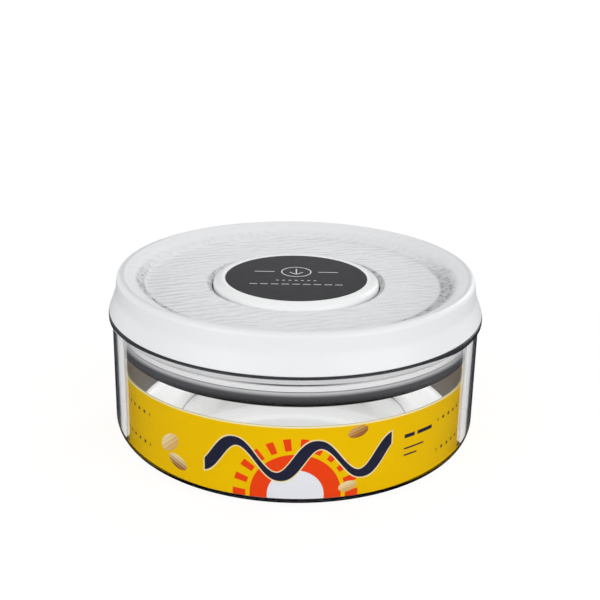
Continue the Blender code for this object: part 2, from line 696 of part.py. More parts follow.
def build_rotor(parts, tools):
    corners = [
        (ROTOR_RADIUS, ROTOR_TOP, 0),
        (ROTOR_RADIUS, ROTOR_BOTTOM, 0),
        (ROTOR_BORE, ROTOR_BOTTOM, 0),
        (ROTOR_BORE, ROTOR_TOP, 0),
    ]
    rotor = turned("index_rotor", corners, parts)
    for i, turn in enumerate(SLOT_TURNS):
        root = around(ROTOR_RADIUS - CUT, turn, LUG_Z)
        tip = around(BARREL_RADIUS + LUG_TIP, turn, LUG_Z)
        combine(rotor, rod(f"rotor_lug_{i}", LUG_RADIUS, root, tip, tools, SCREW_STEPS), "UNION")
    return finish_mesh(rotor)


def build_washer(parts):
    outer = STEM_RADIUS + WASHER_REACH
    corners = [
        (outer, WASHER_TOP, 0),
        (outer, WASHER_BOTTOM, 0),
        (SCREW_BORE, WASHER_BOTTOM, 0),
        (SCREW_BORE, WASHER_TOP, 0),
    ]
    return finish_mesh(turned("rotor_washer", corners, parts, SCREW_STEPS * 2))


def lever_mesh(tools):
    """One rocker lever, its pivot at the origin, tip towards -X and nose towards +X."""
    half = Vector((0, LEVER_WIDTH / 2, 0))
    lever = rod("lever_hub", LEVER_HUB, -half, half, tools)
    tip = Vector((-INNER_ARM, 0, 0))
    nose = Vector((OUTER_ARM, 0, 0))
    combine(lever, rod("lever_tip", LEVER_TIP, tip - half, tip + half, tools, SCREW_STEPS), "UNION")
    combine(lever, rod("lever_nose", LEVER_TIP, nose - half, nose + half, tools, SCREW_STEPS), "UNION")
    bar_size = (INNER_ARM + OUTER_ARM, LEVER_WIDTH, LEVER_THICKNESS)
    bar = block("lever_bar", bar_size, ((OUTER_ARM - INNER_ARM) / 2, 0, 0), tools)
    combine(lever, bar, "UNION")
    reach = half + Vector((0, CUT, 0))
    combine(lever, rod("lever_bore", PIN_BORE, -reach, reach, tools), "DIFFERENCE")
    finish_mesh(lever)
    mesh = lever.data
    bpy.data.objects.remove(lever, do_unlink=True)
    return mesh


def build_levers(parts, tools, plastic, steel, parent):
    mesh = lever_mesh(tools)
    pin_half = LEVER_WIDTH / 2 + RUN_GAP + EAR_THICKNESS
    for i, turn in enumerate(LEVER_TURNS):
        pivot = around(PIVOT_CIRCLE, turn, PIVOT_Z)
        lever = add_part(new_object(f"rocker_lever_{i + 1}", mesh, parts), plastic, parent)
        lever.location = pivot
        lever.rotation_euler = (0, -LEVER_TILT, turn)
        across = around(pin_half, turn + math.pi / 2, 0)
        pin = rod(f"lever_pin_{i + 1}", PIN_RADIUS, pivot - across, pivot + across, parts, SCREW_STEPS)
        add_part(finish_mesh(pin), steel, parent)


def build_links(parts, tools, plastic, parent):
    bottom = PANEL_TOP + GAP
    top = NOSE_Z + WINDOW_HEIGHT / 2 + LINK_BAR
    for i, turn in enumerate(LEVER_TURNS):
        strap_size = (LINK_DEPTH, LINK_WIDTH, top - bottom)
        link = block(f"lift_link_{i + 1}", strap_size, (LINK_CIRCLE, 0, (top + bottom) / 2), parts, turn)
        pad_size = (FOOT_PAD_DEPTH, FOOT_PAD_WIDTH, FOOT_PAD_HEIGHT)
        pad_centre = (LINK_CIRCLE, 0, bottom + FOOT_PAD_HEIGHT / 2)
        combine(link, block(f"link_pad_{i}", pad_size, pad_centre, tools, turn), "UNION")
        window_size = (LINK_DEPTH + 2 * CUT, WINDOW_WIDTH, WINDOW_HEIGHT)
        window = block(f"link_window_{i}", window_size, (LINK_CIRCLE, 0, NOSE_Z), tools, turn)
        combine(link, window, "DIFFERENCE")
        mouth = around(LINK_CIRCLE, turn, bottom - CUT)
        end = around(LINK_CIRCLE, turn, bottom + SCREW_BITE + CUT)
        combine(link, rod(f"link_bore_{i}", SCREW_BORE, mouth, end, tools, SCREW_STEPS), "DIFFERENCE")
        add_part(finish_mesh(link), plastic, parent)


def main():
    clear_scene()
    parts = new_collection("airtight_storage_jar")
    tools = new_collection("cutters")
    looks = {name: new_material(name) for name in FINISHES}
    lid = new_empty("lid_axis", parts)
    press = new_empty("button_axis", parts)
    plate = new_empty("plate_axis", parts)
    press.parent = lid
    plate.parent = lid

    add_part(build_jar(parts), looks["clear_plastic"])
    add_part(build_sleeve(parts), looks["printed_paper"])
    add_part(build_cover(parts, tools), looks["white_plastic"], lid)
    add_part(build_frame(parts, tools), looks["white_plastic"], lid)
    add_part(build_gasket(parts), looks["grey_silicone"], lid)
    add_part(build_barrel(parts, tools), looks["inner_plastic"], lid)
    add_part(build_spring(parts), looks["steel"], lid)
    build_levers(parts, tools, looks["inner_plastic"], looks["steel"], lid)

    add_part(build_button(parts), looks["white_plastic"], press)
    add_part(build_badge(parts), looks["dark_badge"], press)
    add_part(build_rotor(parts, tools), looks["inner_plastic"], press)
    add_part(build_washer(parts), looks["steel"], press)

    add_part(build_plate(parts, tools), looks["inner_plastic"], plate)
    add_part(build_under_cover(parts), looks["white_plastic"], plate)
    build_links(parts, tools, looks["inner_plastic"], plate)

    steel = looks["steel"]
    frame_head = PLUG_BOTTOM - GAP - SCREW_HEAD_HEIGHT
    names = [f"cover_screw_{i + 1}" for i in range(LEVER_COUNT)]
    places = [around(BOSS_CIRCLE, turn, 0) for turn in BOSS_TURNS]
    add_screws(names, places, frame_head, FLOOR_TOP + SCREW_BITE, parts, steel, lid)
    names = [f"barrel_screw_{i + 1}" for i in range(SLOT_COUNT)]
    places = [around(BARREL_SCREW_CIRCLE, turn, 0) for turn in SLOT_TURNS]
    add_screws(names, places, frame_head, BARREL_FLANGE_TOP, parts, steel, lid)
    names = [f"link_screw_{i + 1}" for i in range(LEVER_COUNT)]
    places = [around(LINK_CIRCLE, turn, 0) for turn in LEVER_TURNS]
    plate_head = PANEL_BOTTOM - GAP - SCREW_HEAD_HEIGHT
    add_screws(names, places, plate_head, PANEL_TOP + GAP + SCREW_BITE, parts, steel, plate)
    stem_head = WASHER_BOTTOM - GAP - SCREW_HEAD_HEIGHT
    axis = [Vector((0, 0, 0))]
    add_screws(["rotor_screw"], axis, stem_head, STEM_BOTTOM + SCREW_BITE, parts, steel, press)


main()
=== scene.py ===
"""Looks of the airtight storage jar: fine surfaces, print, gasket, lid grain, light and camera."""

import json
import math

import bpy
from mathutils import Matrix, Vector


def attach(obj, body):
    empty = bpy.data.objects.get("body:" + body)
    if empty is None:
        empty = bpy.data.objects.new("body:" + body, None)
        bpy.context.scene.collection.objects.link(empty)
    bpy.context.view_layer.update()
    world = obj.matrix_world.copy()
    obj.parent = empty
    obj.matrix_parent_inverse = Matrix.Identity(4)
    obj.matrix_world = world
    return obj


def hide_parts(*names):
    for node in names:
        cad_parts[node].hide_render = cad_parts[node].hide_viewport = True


MM = 0.001
MM_PER_METRE = 1000
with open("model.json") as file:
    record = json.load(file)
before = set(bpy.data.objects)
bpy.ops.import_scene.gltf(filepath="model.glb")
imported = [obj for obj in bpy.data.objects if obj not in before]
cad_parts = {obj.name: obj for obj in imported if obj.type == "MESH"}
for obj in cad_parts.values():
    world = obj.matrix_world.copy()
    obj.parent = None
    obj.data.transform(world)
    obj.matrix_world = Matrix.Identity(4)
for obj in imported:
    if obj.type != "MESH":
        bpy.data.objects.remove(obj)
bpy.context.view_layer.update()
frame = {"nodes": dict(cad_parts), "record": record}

# Sizes of the pieces, in metres. They are those of the solids, apart from the flange, the lid's outer
# face, the badge, the tapered rims of the plate and its cover, and the lower edges of the sleeve and the
# gasket, which follow the photograph more closely
JAR_RADIUS = 0.0765
BORE = 0.0729
JAR_HEIGHT = 0.0585
JAR_FLOOR = 0.0038
RIM_RADIUS = 0.0749
FLANGE_RADIUS = 0.0779
FLANGE_TOP = 0.0550
FLANGE_BOTTOM = 0.0526
FOOT_BORE = 0.0575
UNDER_MIDDLE = 0.0013

# Underside of the jar as (radius, height): an outer step, a shallow crown and an inner step
OUTER_STEP = ((0.0504, 0.20 * MM), (0.0497, 0.36 * MM))
UNDER_CROWN = (0.0400, 0.65 * MM)
INNER_STEP = ((0.0339, 0.75 * MM), (0.0333, 0.87 * MM))

SLEEVE_RADIUS = 0.0719
SLEEVE_BORE = 0.0715
SLEEVE_BOTTOM = 0.0043
SLEEVE_TOP = 0.0338

SKIRT_RADIUS = 0.0778
SKIRT_BORE = 0.0754
SKIRT_BOTTOM = 0.0553
SKIRT_ROOF = 0.0606
WAIST_RADIUS = 0.0750
WAIST_Z = 0.0627
CREST_RADIUS = 0.0740
CREST_Z = 0.0704
SLOPE_TOP = 0.0709
SLOPE_FOOT = 0.0619
FIELD_Z = 0.0650
DISH_RADIUS = 0.0718
COVER_WALL = 0.0020
COVER_UNDERSIDE = 0.0630
GUIDE_WALL = 0.0020
GUIDE_BOTTOM = 0.0626
HOLE_RADIUS = 0.0352
HOLE_CHAMFER = 0.0023
HOLE_CHAMFER_DROP = 0.0016

BUTTON_RADIUS = 0.0347
BUTTON_TOP = 0.0667
BUTTON_FLAT = 0.0314
BUTTON_DROP = 0.0012
BUTTON_FLANGE_RADIUS = 0.0369
BUTTON_FLANGE_TOP = 0.0533
BUTTON_FLANGE_BOTTOM = 0.0521
BUTTON_BORE = 0.0328
BUTTON_UNDERSIDE = 0.0641
STEM_ROOT = 0.0062
STEM_SHOULDER = 0.0562
STEM_RADIUS = 0.0050
STEM_BOTTOM = 0.0518
BADGE_RADIUS = 0.0295
BADGE_GAP = 0.0002
BADGE_SEAT = 0.0658
BADGE_UNDERSIDE = 0.0661

GASKET_RADIUS = 0.0726
GASKET_BORE = 0.0660
GASKET_TOP = 0.0471
GASKET_BOTTOM = 0.0415
GASKET_BULGE = 0.0010
GASKET_HALF_FLAT = 0.0012

PLATE_RADIUS = 0.0714
PLATE_FOOT = 0.0688
PLATE_TOP = 0.0414
PLATE_BOTTOM = 0.0402
PANEL_RADIUS = 0.0654
PANEL_BORE = 0.0642
PANEL_TOP = 0.0451
PANEL_BOTTOM = 0.0439
UNDER_RADIUS = 0.0688
UNDER_FOOT = 0.0662
UNDER_TOP = 0.0399
UNDER_BOTTOM = 0.0388
CLIP_RADIUS = 0.0639
CLIP_BORE = 0.0623
CLIP_TOP = 0.0429

PLUG_RADIUS = 0.0721
PLUG_BOTTOM = 0.0474
PLUG_SKIN = 0.00005
PLUG_SKIN_DEPTH = 0.0014
PLUG_STEP = 0.0005
GROOVE_TOP = 0.0500
GROOVE_BOTTOM = 0.0493
GROOVE_DEPTH = 0.0009
GROOVE_BEVEL = 0.0001

# Fillets, in metres
TINY_FILLET = 0.0002
NECK_FILLET = 0.0003
EDGE_FILLET = 0.0004
RIM_FILLET = 0.0005
FLANGE_FILLET = 0.0007
SOFT_FILLET = 0.0008
FLOOR_FILLET = 0.0014
CREST_FILLET = 0.0022
SLOPE_FILLET = 0.0060
WAIST_FILLET = 0.0120
FOOT_FILLET = 0.0080
BASE_FILLET = 0.0090
GASKET_FILLET = 0.0006
BADGE_FILLET = 0.00015
CAP_FILLET = 0.0040
CAP_EDGE_FILLET = 0.0024

# How finely round pieces are cut, and the angles in degrees above which an edge stays sharp
FINE_STEPS = 256
FLAG_STEPS = 72
MARK_STEPS = 48
ARC_STEP = math.radians(6)
SHARP_ANGLE = 40
JAR_SHARP_ANGLE = 60

# Camera, fitted to the outlines of the lid and of the foot, in metres and pixels of a 600 pixel frame
CAMERA_BACK = 0.4242
CAMERA_HEIGHT = 0.2105
AIM_X = 0.00176
AIM_Z = 0.0564
CAMERA_ROLL = -0.0187
FOCAL_PIXELS = 1069.1
FRAME_PIXELS = 600
SENSOR_MM = 36
CLIP_START = 0.01
CLIP_END = 20


# Geometry


def add(name, data):
    """New object in the scene."""
    made = bpy.data.objects.new(name, data)
    bpy.context.scene.collection.objects.link(made)
    return made


def add_mesh(name, vertices, faces):
    """New object in the scene, from its vertices and faces."""
    mesh = bpy.data.meshes.new(name)
    mesh.from_pydata(vertices, [], faces)
    return add(name, mesh)


def rounded(corners, closed):
    """Outline through corners given as (radius, height, fillet), with each fillet as a fine arc."""
    points = []
    last = len(corners) - 1
    for i, (x, z, fillet) in enumerate(corners):
        corner = Vector((x, z))
        if not fillet or (not closed and i in (0, last)):
            points.append(corner)
            continue
        back = (Vector(corners[i - 1][:2]) - corner).normalized()
        ahead = (Vector(corners[(i + 1) % len(corners)][:2]) - corner).normalized()
        half = back.angle(ahead) / 2
        centre = corner + (back + ahead).normalized() * fillet / math.sin(half)
        start = corner + back * fillet / math.tan(half) - centre
        sweep = back.angle_signed(ahead)
        sweep -= math.copysign(math.pi, sweep)
        count = max(2, round(abs(sweep) / ARC_STEP))
        for k in range(count + 1):
            points.append(centre + Matrix.Rotation(-sweep * k / count, 2) @ start)
    return points


def turned(name, corners, closed=True, sharp=SHARP_ANGLE):
    """Round piece turned about Z, its outline listed from the top down its outer side."""
    rings = []
    vertices = []
    for p in rounded(corners, closed):
        if p.x < 1e-7:
            rings.append([len(vertices)] * FINE_STEPS)
            vertices.append((0, 0, p.y))
            continue
        rings.append(list(range(len(vertices), len(vertices) + FINE_STEPS)))
        for k in range(FINE_STEPS):
            turn = 2 * math.pi * k / FINE_STEPS
            vertices.append((p.x * math.cos(turn), p.x * math.sin(turn), p.y))
    faces = []
    count = len(rings)
    for i in range(count if closed else count - 1):
        upper, lower = rings[i], rings[(i + 1) % count]
        for k in range(FINE_STEPS):
            n = (k + 1) % FINE_STEPS
            loop = [upper[k], lower[k], lower[n], upper[n]]
            loop = [v for j, v in enumerate(loop) if v != loop[j - 1]]
            if len(loop) > 2:
                faces.append(loop)
    piece = add_mesh(name, vertices, faces)
    piece.data.shade_smooth()
    piece.data.set_sharp_from_angle(angle=math.radians(sharp))
    return piece


def dress(piece, body, slot, *materials):
    """Give a piece its materials and its body. The slot is not used."""
    piece.data.materials.clear()
    for made in materials:
        piece.data.materials.append(made)
    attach(piece, body)
    return piece


# Nodes that the materials share


def new_material(name, colour, roughness):
    """Material, its node tree and its Principled shader."""
    made = bpy.data.materials.new(name)
    made.use_nodes = True
    shader = made.node_tree.nodes["Principled BSDF"]
    shader.inputs["Base Color"].default_value = (*colour, 1)
    shader.inputs["Roughness"].default_value = roughness
    return made, made.node_tree, shader


def put(tree, kind, values=(), **settings):
    """Add a node, set its properties, and link or set its inputs by place or by name."""
    made = tree.nodes.new(kind)
    for key, value in settings.items():
        setattr(made, key, value)
    pairs = values.items() if isinstance(values, dict) else enumerate(values)
    for key, value in pairs:
        if isinstance(value, bpy.types.NodeSocket):
            tree.links.new(value, made.inputs[key])
        elif value is not None:
            made.inputs[key].default_value = value
    return made


def calc(tree, operation, *values):
    """Result of a Math node."""
    return put(tree, "ShaderNodeMath", values, operation=operation).outputs[0]


def minus(tree, one, other):
    """One value less another."""
    return calc(tree, "SUBTRACT", one, other)


def size_of(tree, value):
    """A value without its sign."""
    return calc(tree, "ABSOLUTE", value)


def flip(tree, share):
    """What a share leaves of 1."""
    return calc(tree, "SUBTRACT", 1.0, share)


def both(tree, *shares):
    """Product of shares, or of a value and shares."""
    out = shares[0]
    for share in shares[1:]:
        out = calc(tree, "MULTIPLY", out, share)
    return out


def larger(tree, one, other):
    """The larger of two values."""
    return calc(tree, "MAXIMUM", one, other)


def length(tree, x, y):
    """Length of the vector (x, y)."""
    return calc(tree, "SQRT", calc(tree, "MULTIPLY_ADD", x, x, calc(tree, "MULTIPLY", y, y)))


def spread(tree, value, low, high):
    """Map 0..1 to low..high."""
    return put(tree, "ShaderNodeMapRange", (value, 0.0, 1.0, low, high)).outputs[0]


def step(tree, value, low, high):
    """0 below low, 1 above high, smooth between."""
    values = (value, low, high, 0.0, 1.0)
    return put(tree, "ShaderNodeMapRange", values, interpolation_type="SMOOTHSTEP").outputs[0]


def inside(tree, distance, edge=0.12):
    """1 where a distance in millimetres is below zero."""
    return flip(tree, step(tree, distance, -edge, edge))


def blend(tree, share, one, two):
    """Mix two colours."""
    made = put(tree, "ShaderNodeMix", data_type="RGBA")
    for socket, value in ((made.inputs[0], share), (made.inputs[6], one), (made.inputs[7], two)):
        if isinstance(value, bpy.types.NodeSocket):
            tree.links.new(value, socket)
        elif isinstance(value, tuple):
            socket.default_value = (*value, 1)
        else:
            socket.default_value = value
    return made.outputs[2]


def darker(colour, share):
    """A colour times a share."""
    return tuple(c * share for c in colour)


def place(tree, turn=0.0, stretch=(1, 1, 1)):
    """Object coordinates in millimetres, turned about Z and stretched."""
    where = put(tree, "ShaderNodeTexCoord").outputs["Object"]
    spin = put(tree, "ShaderNodeVectorRotate", {"Vector": where, "Angle": turn}, rotation_type="Z_AXIS")
    scale = tuple(MM_PER_METRE * s for s in stretch)
    return put(tree, "ShaderNodeVectorMath", (spin.outputs[0], scale), operation="MULTIPLY").outputs[0]


def split(tree, where):
    """X, Y and Z of a place."""
    return put(tree, "ShaderNodeSeparateXYZ", (where,)).outputs


def reach(tree, where):
    """Distance of a place from the origin."""
    return put(tree, "ShaderNodeVectorMath", (where,), operation="LENGTH").outputs["Value"]


def from_axis(tree):
    """Distance from the jar's axis, in millimetres."""
    return reach(tree, place(tree, 0, (1, 1, 0)))


def noise(tree, where, size, detail=3.0):
    """Noise whose grains are about size millimetres wide."""
    values = {"Vector": where, "Scale": 1 / size, "Detail": detail}
    return put(tree, "ShaderNodeTexNoise", values).outputs["Fac"]


def bump(tree, shader, height, depth_mm):
    """Relief that is depth_mm deep for each 1 of height."""
    made = put(tree, "ShaderNodeBump", {"Height": height, "Distance": depth_mm * MM, "Strength": 1.0})
    tree.links.new(made.outputs[0], shader.inputs["Normal"])


def finish(tree, shader, colour, roughness):
    """Link a shader's colour and roughness."""
    tree.links.new(colour, shader.inputs["Base Color"])
    tree.links.new(roughness, shader.inputs["Roughness"])


def seen_rays(tree):
    """1 where the camera sees a surface itself, in a reflection or through clear plastic."""
    rays = put(tree, "ShaderNodeLightPath").outputs
    direct = larger(tree, rays["Is Camera Ray"], rays["Is Glossy Ray"])
    return larger(tree, direct, rays["Is Transmission Ray"])


# Moulded plastic

PLASTIC_IOR = 1.49
PLASTIC_DEEPER = 0.985
PLASTIC_ROUGHNESS = (0.85, 1.2)
CLOUD_SIZE = 9.0
FINE_GRAIN_SIZE = 0.35
FINE_GRAIN_DEPTH = 0.004


def smooth_plastic(name, colour, roughness):
    """Moulded plastic with a faint waviness and a roughness that wanders a little."""
    made, tree, shader = new_material(name, colour, roughness)
    where = place(tree)
    cloud = noise(tree, where, CLOUD_SIZE)
    tint = blend(tree, cloud, colour, darker(colour, PLASTIC_DEEPER))
    finish(tree, shader, tint, spread(tree, cloud, *(roughness * share for share in PLASTIC_ROUGHNESS)))
    bump(tree, shader, noise(tree, where, FINE_GRAIN_SIZE), FINE_GRAIN_DEPTH)
    shader.inputs["IOR"].default_value = PLASTIC_IOR
    return made


# Dish of the lid, lengths in millimetres. A pair is where something starts and where it is full.
# Ripples, grain and crumbs lie slanted across it, and get weaker up its slope and end at its crest
DISH_SLANT = math.radians(-20)
RIPPLE_LENGTH = 4.1
RIPPLE_BEND = 5.0
RIPPLE_BEND_SIZE = 13.0
RIPPLE_HEIGHT = 0.34
GRAIN_STRETCH = (0.30, 1, 1)
GRAIN_SIZE = 2.5
GRAIN_HEIGHT = 2.0
CRUMB_STRETCH = (0.55, 1, 1)
CRUMB_SIZE = 1.2
CRUMB_HEIGHT = 0.5
DISH_DEEPER = 0.97
DISH_ROUGHNESS = (0.8, 1.3)
SLOPE_START = (60.8, 63.5)
SLOPE_RELIEF = 0.45
RELIEF_END = (68.6, 70.2)
RELIEF_DEPTH = 0.30

# Pits lie along the slope's foot, in a band that is wider and further in at the right than at the left,
# with painted shade in them that is darkest in their low parts
PIT_SLANT = math.radians(35)
PIT_STRETCH = (0.55, 1, 1)
PIT_SIZE = 1.6
PIT_HEIGHT = 2.4
PIT_DEEP_SHADE = (0.38, 0.58)
PIT_SHADE_COLOUR = (0.20, 0.20, 0.21)
RIGHT_HALF = (-0.5, 0.5)
BAND_FOOT = (61.4, 60.7)
BAND_WIDTH = (3.5, 7.6)
BAND_START = (-1.5, 0.0)
BAND_END = (0.40, 1.0)
BAND_SHIFT = 2.3
BAND_SHIFT_REACH = (-0.60, -0.10)
BAND_BASE_SHADE = (0.30, 0.46)
BAND_BACK = (-0.15, 0.6)
BAND_BACK_SHIFT = (0.15, 0.0)
BAND_BACK_SHARE = 0.12

# A little of the same painted shade lies at both ends of the button's hole
MOUTH_EDGE = (36.9, 37.5)
MOUTH_ENDS = (0.55, 0.85)
MOUTH_SHARE = 0.7


def dish_relief(tree, grain):
    """Height of the dish's ripples, grain and crumbs."""
    where = place(tree, DISH_SLANT)
    warp = noise(tree, where, RIPPLE_BEND_SIZE, 2.0)
    bent = calc(tree, "ADD", split(tree, where)[1], spread(tree, warp, -RIPPLE_BEND, RIPPLE_BEND))
    ripple = calc(tree, "SINE", both(tree, bent, 2 * math.pi / RIPPLE_LENGTH))
    crumb = noise(tree, place(tree, DISH_SLANT, CRUMB_STRETCH), CRUMB_SIZE, 1.0)
    height = calc(tree, "MULTIPLY_ADD", ripple, RIPPLE_HEIGHT, both(tree, grain, GRAIN_HEIGHT))
    return calc(tree, "MULTIPLY_ADD", crumb, CRUMB_HEIGHT, height)


def pits_and_shade_band(tree, radius):
    """Where the dish is pitted and painted with shade, and how dark that painted shade is there at least.
    """
    axes = split(tree, place(tree))
    side = calc(tree, "DIVIDE", axes[0], radius)
    front = calc(tree, "DIVIDE", axes[1], radius)
    right = step(tree, side, *RIGHT_HALF)
    shifted = both(tree, flip(tree, right), step(tree, front, *BAND_SHIFT_REACH))
    past = minus(tree, radius, spread(tree, right, *BAND_FOOT))
    past = calc(tree, "MULTIPLY_ADD", shifted, -BAND_SHIFT, past)
    near = calc(tree, "DIVIDE", past, spread(tree, right, *BAND_WIDTH))
    foot = both(tree, flip(tree, step(tree, near, *BAND_END)), step(tree, past, *BAND_START))
    ahead = calc(tree, "ADD", front, spread(tree, right, *BAND_BACK_SHIFT))
    ahead = flip(tree, step(tree, ahead, *BAND_BACK))
    foot = both(tree, foot, spread(tree, ahead, BAND_BACK_SHARE, 1.0))
    mouth = flip(tree, step(tree, radius, *MOUTH_EDGE))
    mouth = both(tree, mouth, step(tree, size_of(tree, side), *MOUTH_ENDS), MOUTH_SHARE)
    return larger(tree, foot, mouth), spread(tree, right, *BAND_BASE_SHADE)


def embossed_plastic(name, colour, roughness):
    """The dish of the lid: soft slanted ripples and grain, with pits along the slope's foot and painted
    shade in them.
    """
    made, tree, shader = new_material(name, colour, roughness)
    radius = from_axis(tree)
    grain = noise(tree, place(tree, DISH_SLANT, GRAIN_STRETCH), GRAIN_SIZE, 1.5)
    pit = noise(tree, place(tree, PIT_SLANT, PIT_STRETCH), PIT_SIZE, 2.0)
    band, base = pits_and_shade_band(tree, radius)
    weaker = spread(tree, step(tree, radius, *SLOPE_START), 1.0, SLOPE_RELIEF)
    height = both(tree, dish_relief(tree, grain), weaker)
    height = calc(tree, "MULTIPLY_ADD", both(tree, pit, band), PIT_HEIGHT, height)
    height = both(tree, height, flip(tree, step(tree, radius, *RELIEF_END)))
    # Painted shade: darker in the low parts of the pits, over a base darkness across the band
    deep = flip(tree, step(tree, pit, *PIT_DEEP_SHADE))
    shade = both(tree, band, larger(tree, base, deep))
    plain = blend(tree, grain, colour, darker(colour, DISH_DEEPER))
    tint = blend(tree, shade, plain, PIT_SHADE_COLOUR)
    finish(tree, shader, tint, spread(tree, grain, *(roughness * share for share in DISH_ROUGHNESS)))
    bump(tree, shader, height, RELIEF_DEPTH)
    shader.inputs["IOR"].default_value = PLASTIC_IOR
    return made


# Clear wall, lengths in millimetres: a painted dark line of shade on the flange's lip, which hangs lower
# at the sides, most at the right; painted shade where the upright wall is seen edge-on, more so low at
# the front; and a faint painted grey line of shade on a ring under the floor
CLEAR = (0.985, 0.99, 0.99)
PAINTED_DARK_EDGE = (0.02, 0.022, 0.03)
STEP_SHADE_GREY = (0.42, 0.42, 0.44)
LIP_RADIUS = (76.75, 76.95)
LIP_LOW = (54.2, 52.3)
LIP_SOFT = (0.0, 0.2)
LIP_RIGHT = (0.58, 0.94)
LIP_LEFT = (0.60, 0.95)
LIP_LEFT_SHARE = 0.4
LIP_TRANSMISSION = 0.2
LIP_SPECULAR = 0.1
EDGE_START = (0.79, 0.84)
UPRIGHT = (68.0, 69.5)
BASE_TURN = (5.0, 10.0)
BASE_FRONT = (0.0, 0.45)
BASE_EXTRA = (0.07, 0.27)
STEP_SHADE_RADIUS = (OUTER_STEP[0][0] + OUTER_STEP[1][0]) / 2 * MM_PER_METRE
STEP_SHADE_WIDTH = (0.25, 0.60)
STEP_SHADE_TOP = (0.8, 1.2)
WAVE_SIZE = 22.0
WAVE_DEPTH = 0.03


def clear_plastic(name):
    """Clear wall of the canister, a little wavy, with painted shade seen edge-on, along its flange and
    under its floor.
    """
    made, tree, shader = new_material(name, (1, 1, 1), 0.0)
    shader.inputs["Transmission Weight"].default_value = 1.0
    shader.inputs["IOR"].default_value = PLASTIC_IOR
    where = place(tree)
    x, y, high = split(tree, where)
    radius = from_axis(tree)
    side = calc(tree, "DIVIDE", x, radius)
    front = larger(tree, calc(tree, "DIVIDE", both(tree, y, -1.0), radius), 0.0)

    # Painted shade: a dark line along the flange's lip, hanging lower at the sides, most at the right
    left = both(tree, step(tree, both(tree, side, -1.0), *LIP_LEFT), LIP_LEFT_SHARE)
    low = spread(tree, larger(tree, step(tree, side, *LIP_RIGHT), left), *LIP_LOW)
    lip = both(tree, step(tree, radius, *LIP_RADIUS), step(tree, minus(tree, high, low), *LIP_SOFT))

    # Painted shade where the wall is seen edge-on, more so low at the front
    edge = put(tree, "ShaderNodeLayerWeight", {"Blend": 0.5}).outputs["Facing"]
    turn = flip(tree, step(tree, high, *BASE_TURN))
    extra = spread(tree, step(tree, front, *BASE_FRONT), *BASE_EXTRA)
    edge = calc(tree, "MULTIPLY_ADD", turn, extra, edge)
    edge = both(tree, step(tree, edge, *EDGE_START), step(tree, radius, *UPRIGHT))

    # Painted grey line of shade on the outer step under the floor
    step_shade = flip(tree, step(tree, size_of(tree, minus(tree, radius, STEP_SHADE_RADIUS)), *STEP_SHADE_WIDTH))
    step_shade = both(tree, step_shade, flip(tree, step(tree, high, *STEP_SHADE_TOP)))
    tint = blend(tree, larger(tree, edge, lip), blend(tree, step_shade, CLEAR, STEP_SHADE_GREY), PAINTED_DARK_EDGE)
    tree.links.new(tint, shader.inputs["Base Color"])
    tree.links.new(spread(tree, lip, 1.0, LIP_TRANSMISSION), shader.inputs["Transmission Weight"])
    tree.links.new(spread(tree, lip, 0.5, LIP_SPECULAR), shader.inputs["Specular IOR Level"])
    bump(tree, shader, noise(tree, where, WAVE_SIZE, 1.0), WAVE_DEPTH)
    return made


# Seal, heights in millimetres, with painted shade below its bulge and a painted highlight along its top:
# a pair is where a tone starts to give way and where the next one is full
SEAL_GREY = (0.2, 0.2, 0.21)
SEAL_SHADOW_BLACK = (0.001, 0.001, 0.001)
SEAL_SHADE_DARK = (0.038, 0.038, 0.043)
SEAL_SHADE_MIDDLE = (0.084, 0.084, 0.092)
SEAL_LIT_PALE = (0.60, 0.60, 0.615)
SEAL_DARK_Z = (42.5, 43.6)
SEAL_MIDDLE_Z = (43.4, 45.6)
SEAL_PALE_Z = (45.5, 47.0)
SEAL_SIDES = (0.25, 0.90)
SEAL_SIDE_LIFT = 1.7
SEAL_ROUGHNESS = (0.38, 0.55)
SEAL_PATCH_SIZE = 2.0
SEAL_GRAIN_SIZE = 0.5
SEAL_GRAIN_DEPTH = 0.006


def silicone(name):
    """Grey ring with painted shade, dark below its bulge where it turns under and less so at the sides,
    and a pale painted top.
    """
    made, tree, shader = new_material(name, SEAL_GREY, 0.45)
    shader.inputs["Specular IOR Level"].default_value = 0.12
    where = place(tree)
    axes = split(tree, where)
    high = axes[2]
    aside = calc(tree, "DIVIDE", size_of(tree, axes[0]), GASKET_RADIUS * MM_PER_METRE)
    level = calc(tree, "MULTIPLY_ADD", step(tree, aside, *SEAL_SIDES), SEAL_SIDE_LIFT, high)
    # Painted shade below the bulge, deepest where the ring turns under and less at the sides, and a
    # painted highlight on top
    tint = blend(tree, step(tree, level, *SEAL_DARK_Z), SEAL_SHADOW_BLACK, SEAL_SHADE_DARK)
    tint = blend(tree, step(tree, level, *SEAL_MIDDLE_Z), tint, SEAL_SHADE_MIDDLE)
    tint = blend(tree, step(tree, high, *SEAL_PALE_Z), tint, SEAL_LIT_PALE)
    finish(tree, shader, tint, spread(tree, noise(tree, where, SEAL_PATCH_SIZE), *SEAL_ROUGHNESS))
    bump(tree, shader, noise(tree, where, SEAL_GRAIN_SIZE), SEAL_GRAIN_DEPTH)
    return made


STEEL_STRETCH = (1, 1, 0.15)
STEEL_ROUGHNESS = (0.22, 0.42)
STEEL_PATCH_SIZE = 0.3
STEEL_LINE_SIZE = 0.25
STEEL_LINE_DEPTH = 0.003


def steel(name):
    """Drawn steel with fine lines along Z."""
    made, tree, shader = new_material(name, (0.62, 0.63, 0.64), 0.3)
    shader.inputs["Metallic"].default_value = 1.0
    where = place(tree, 0, STEEL_STRETCH)
    patch = noise(tree, where, STEEL_PATCH_SIZE)
    tree.links.new(spread(tree, patch, *STEEL_ROUGHNESS), shader.inputs["Roughness"])
    bump(tree, shader, noise(tree, where, STEEL_LINE_SIZE), STEEL_LINE_DEPTH)
    return made


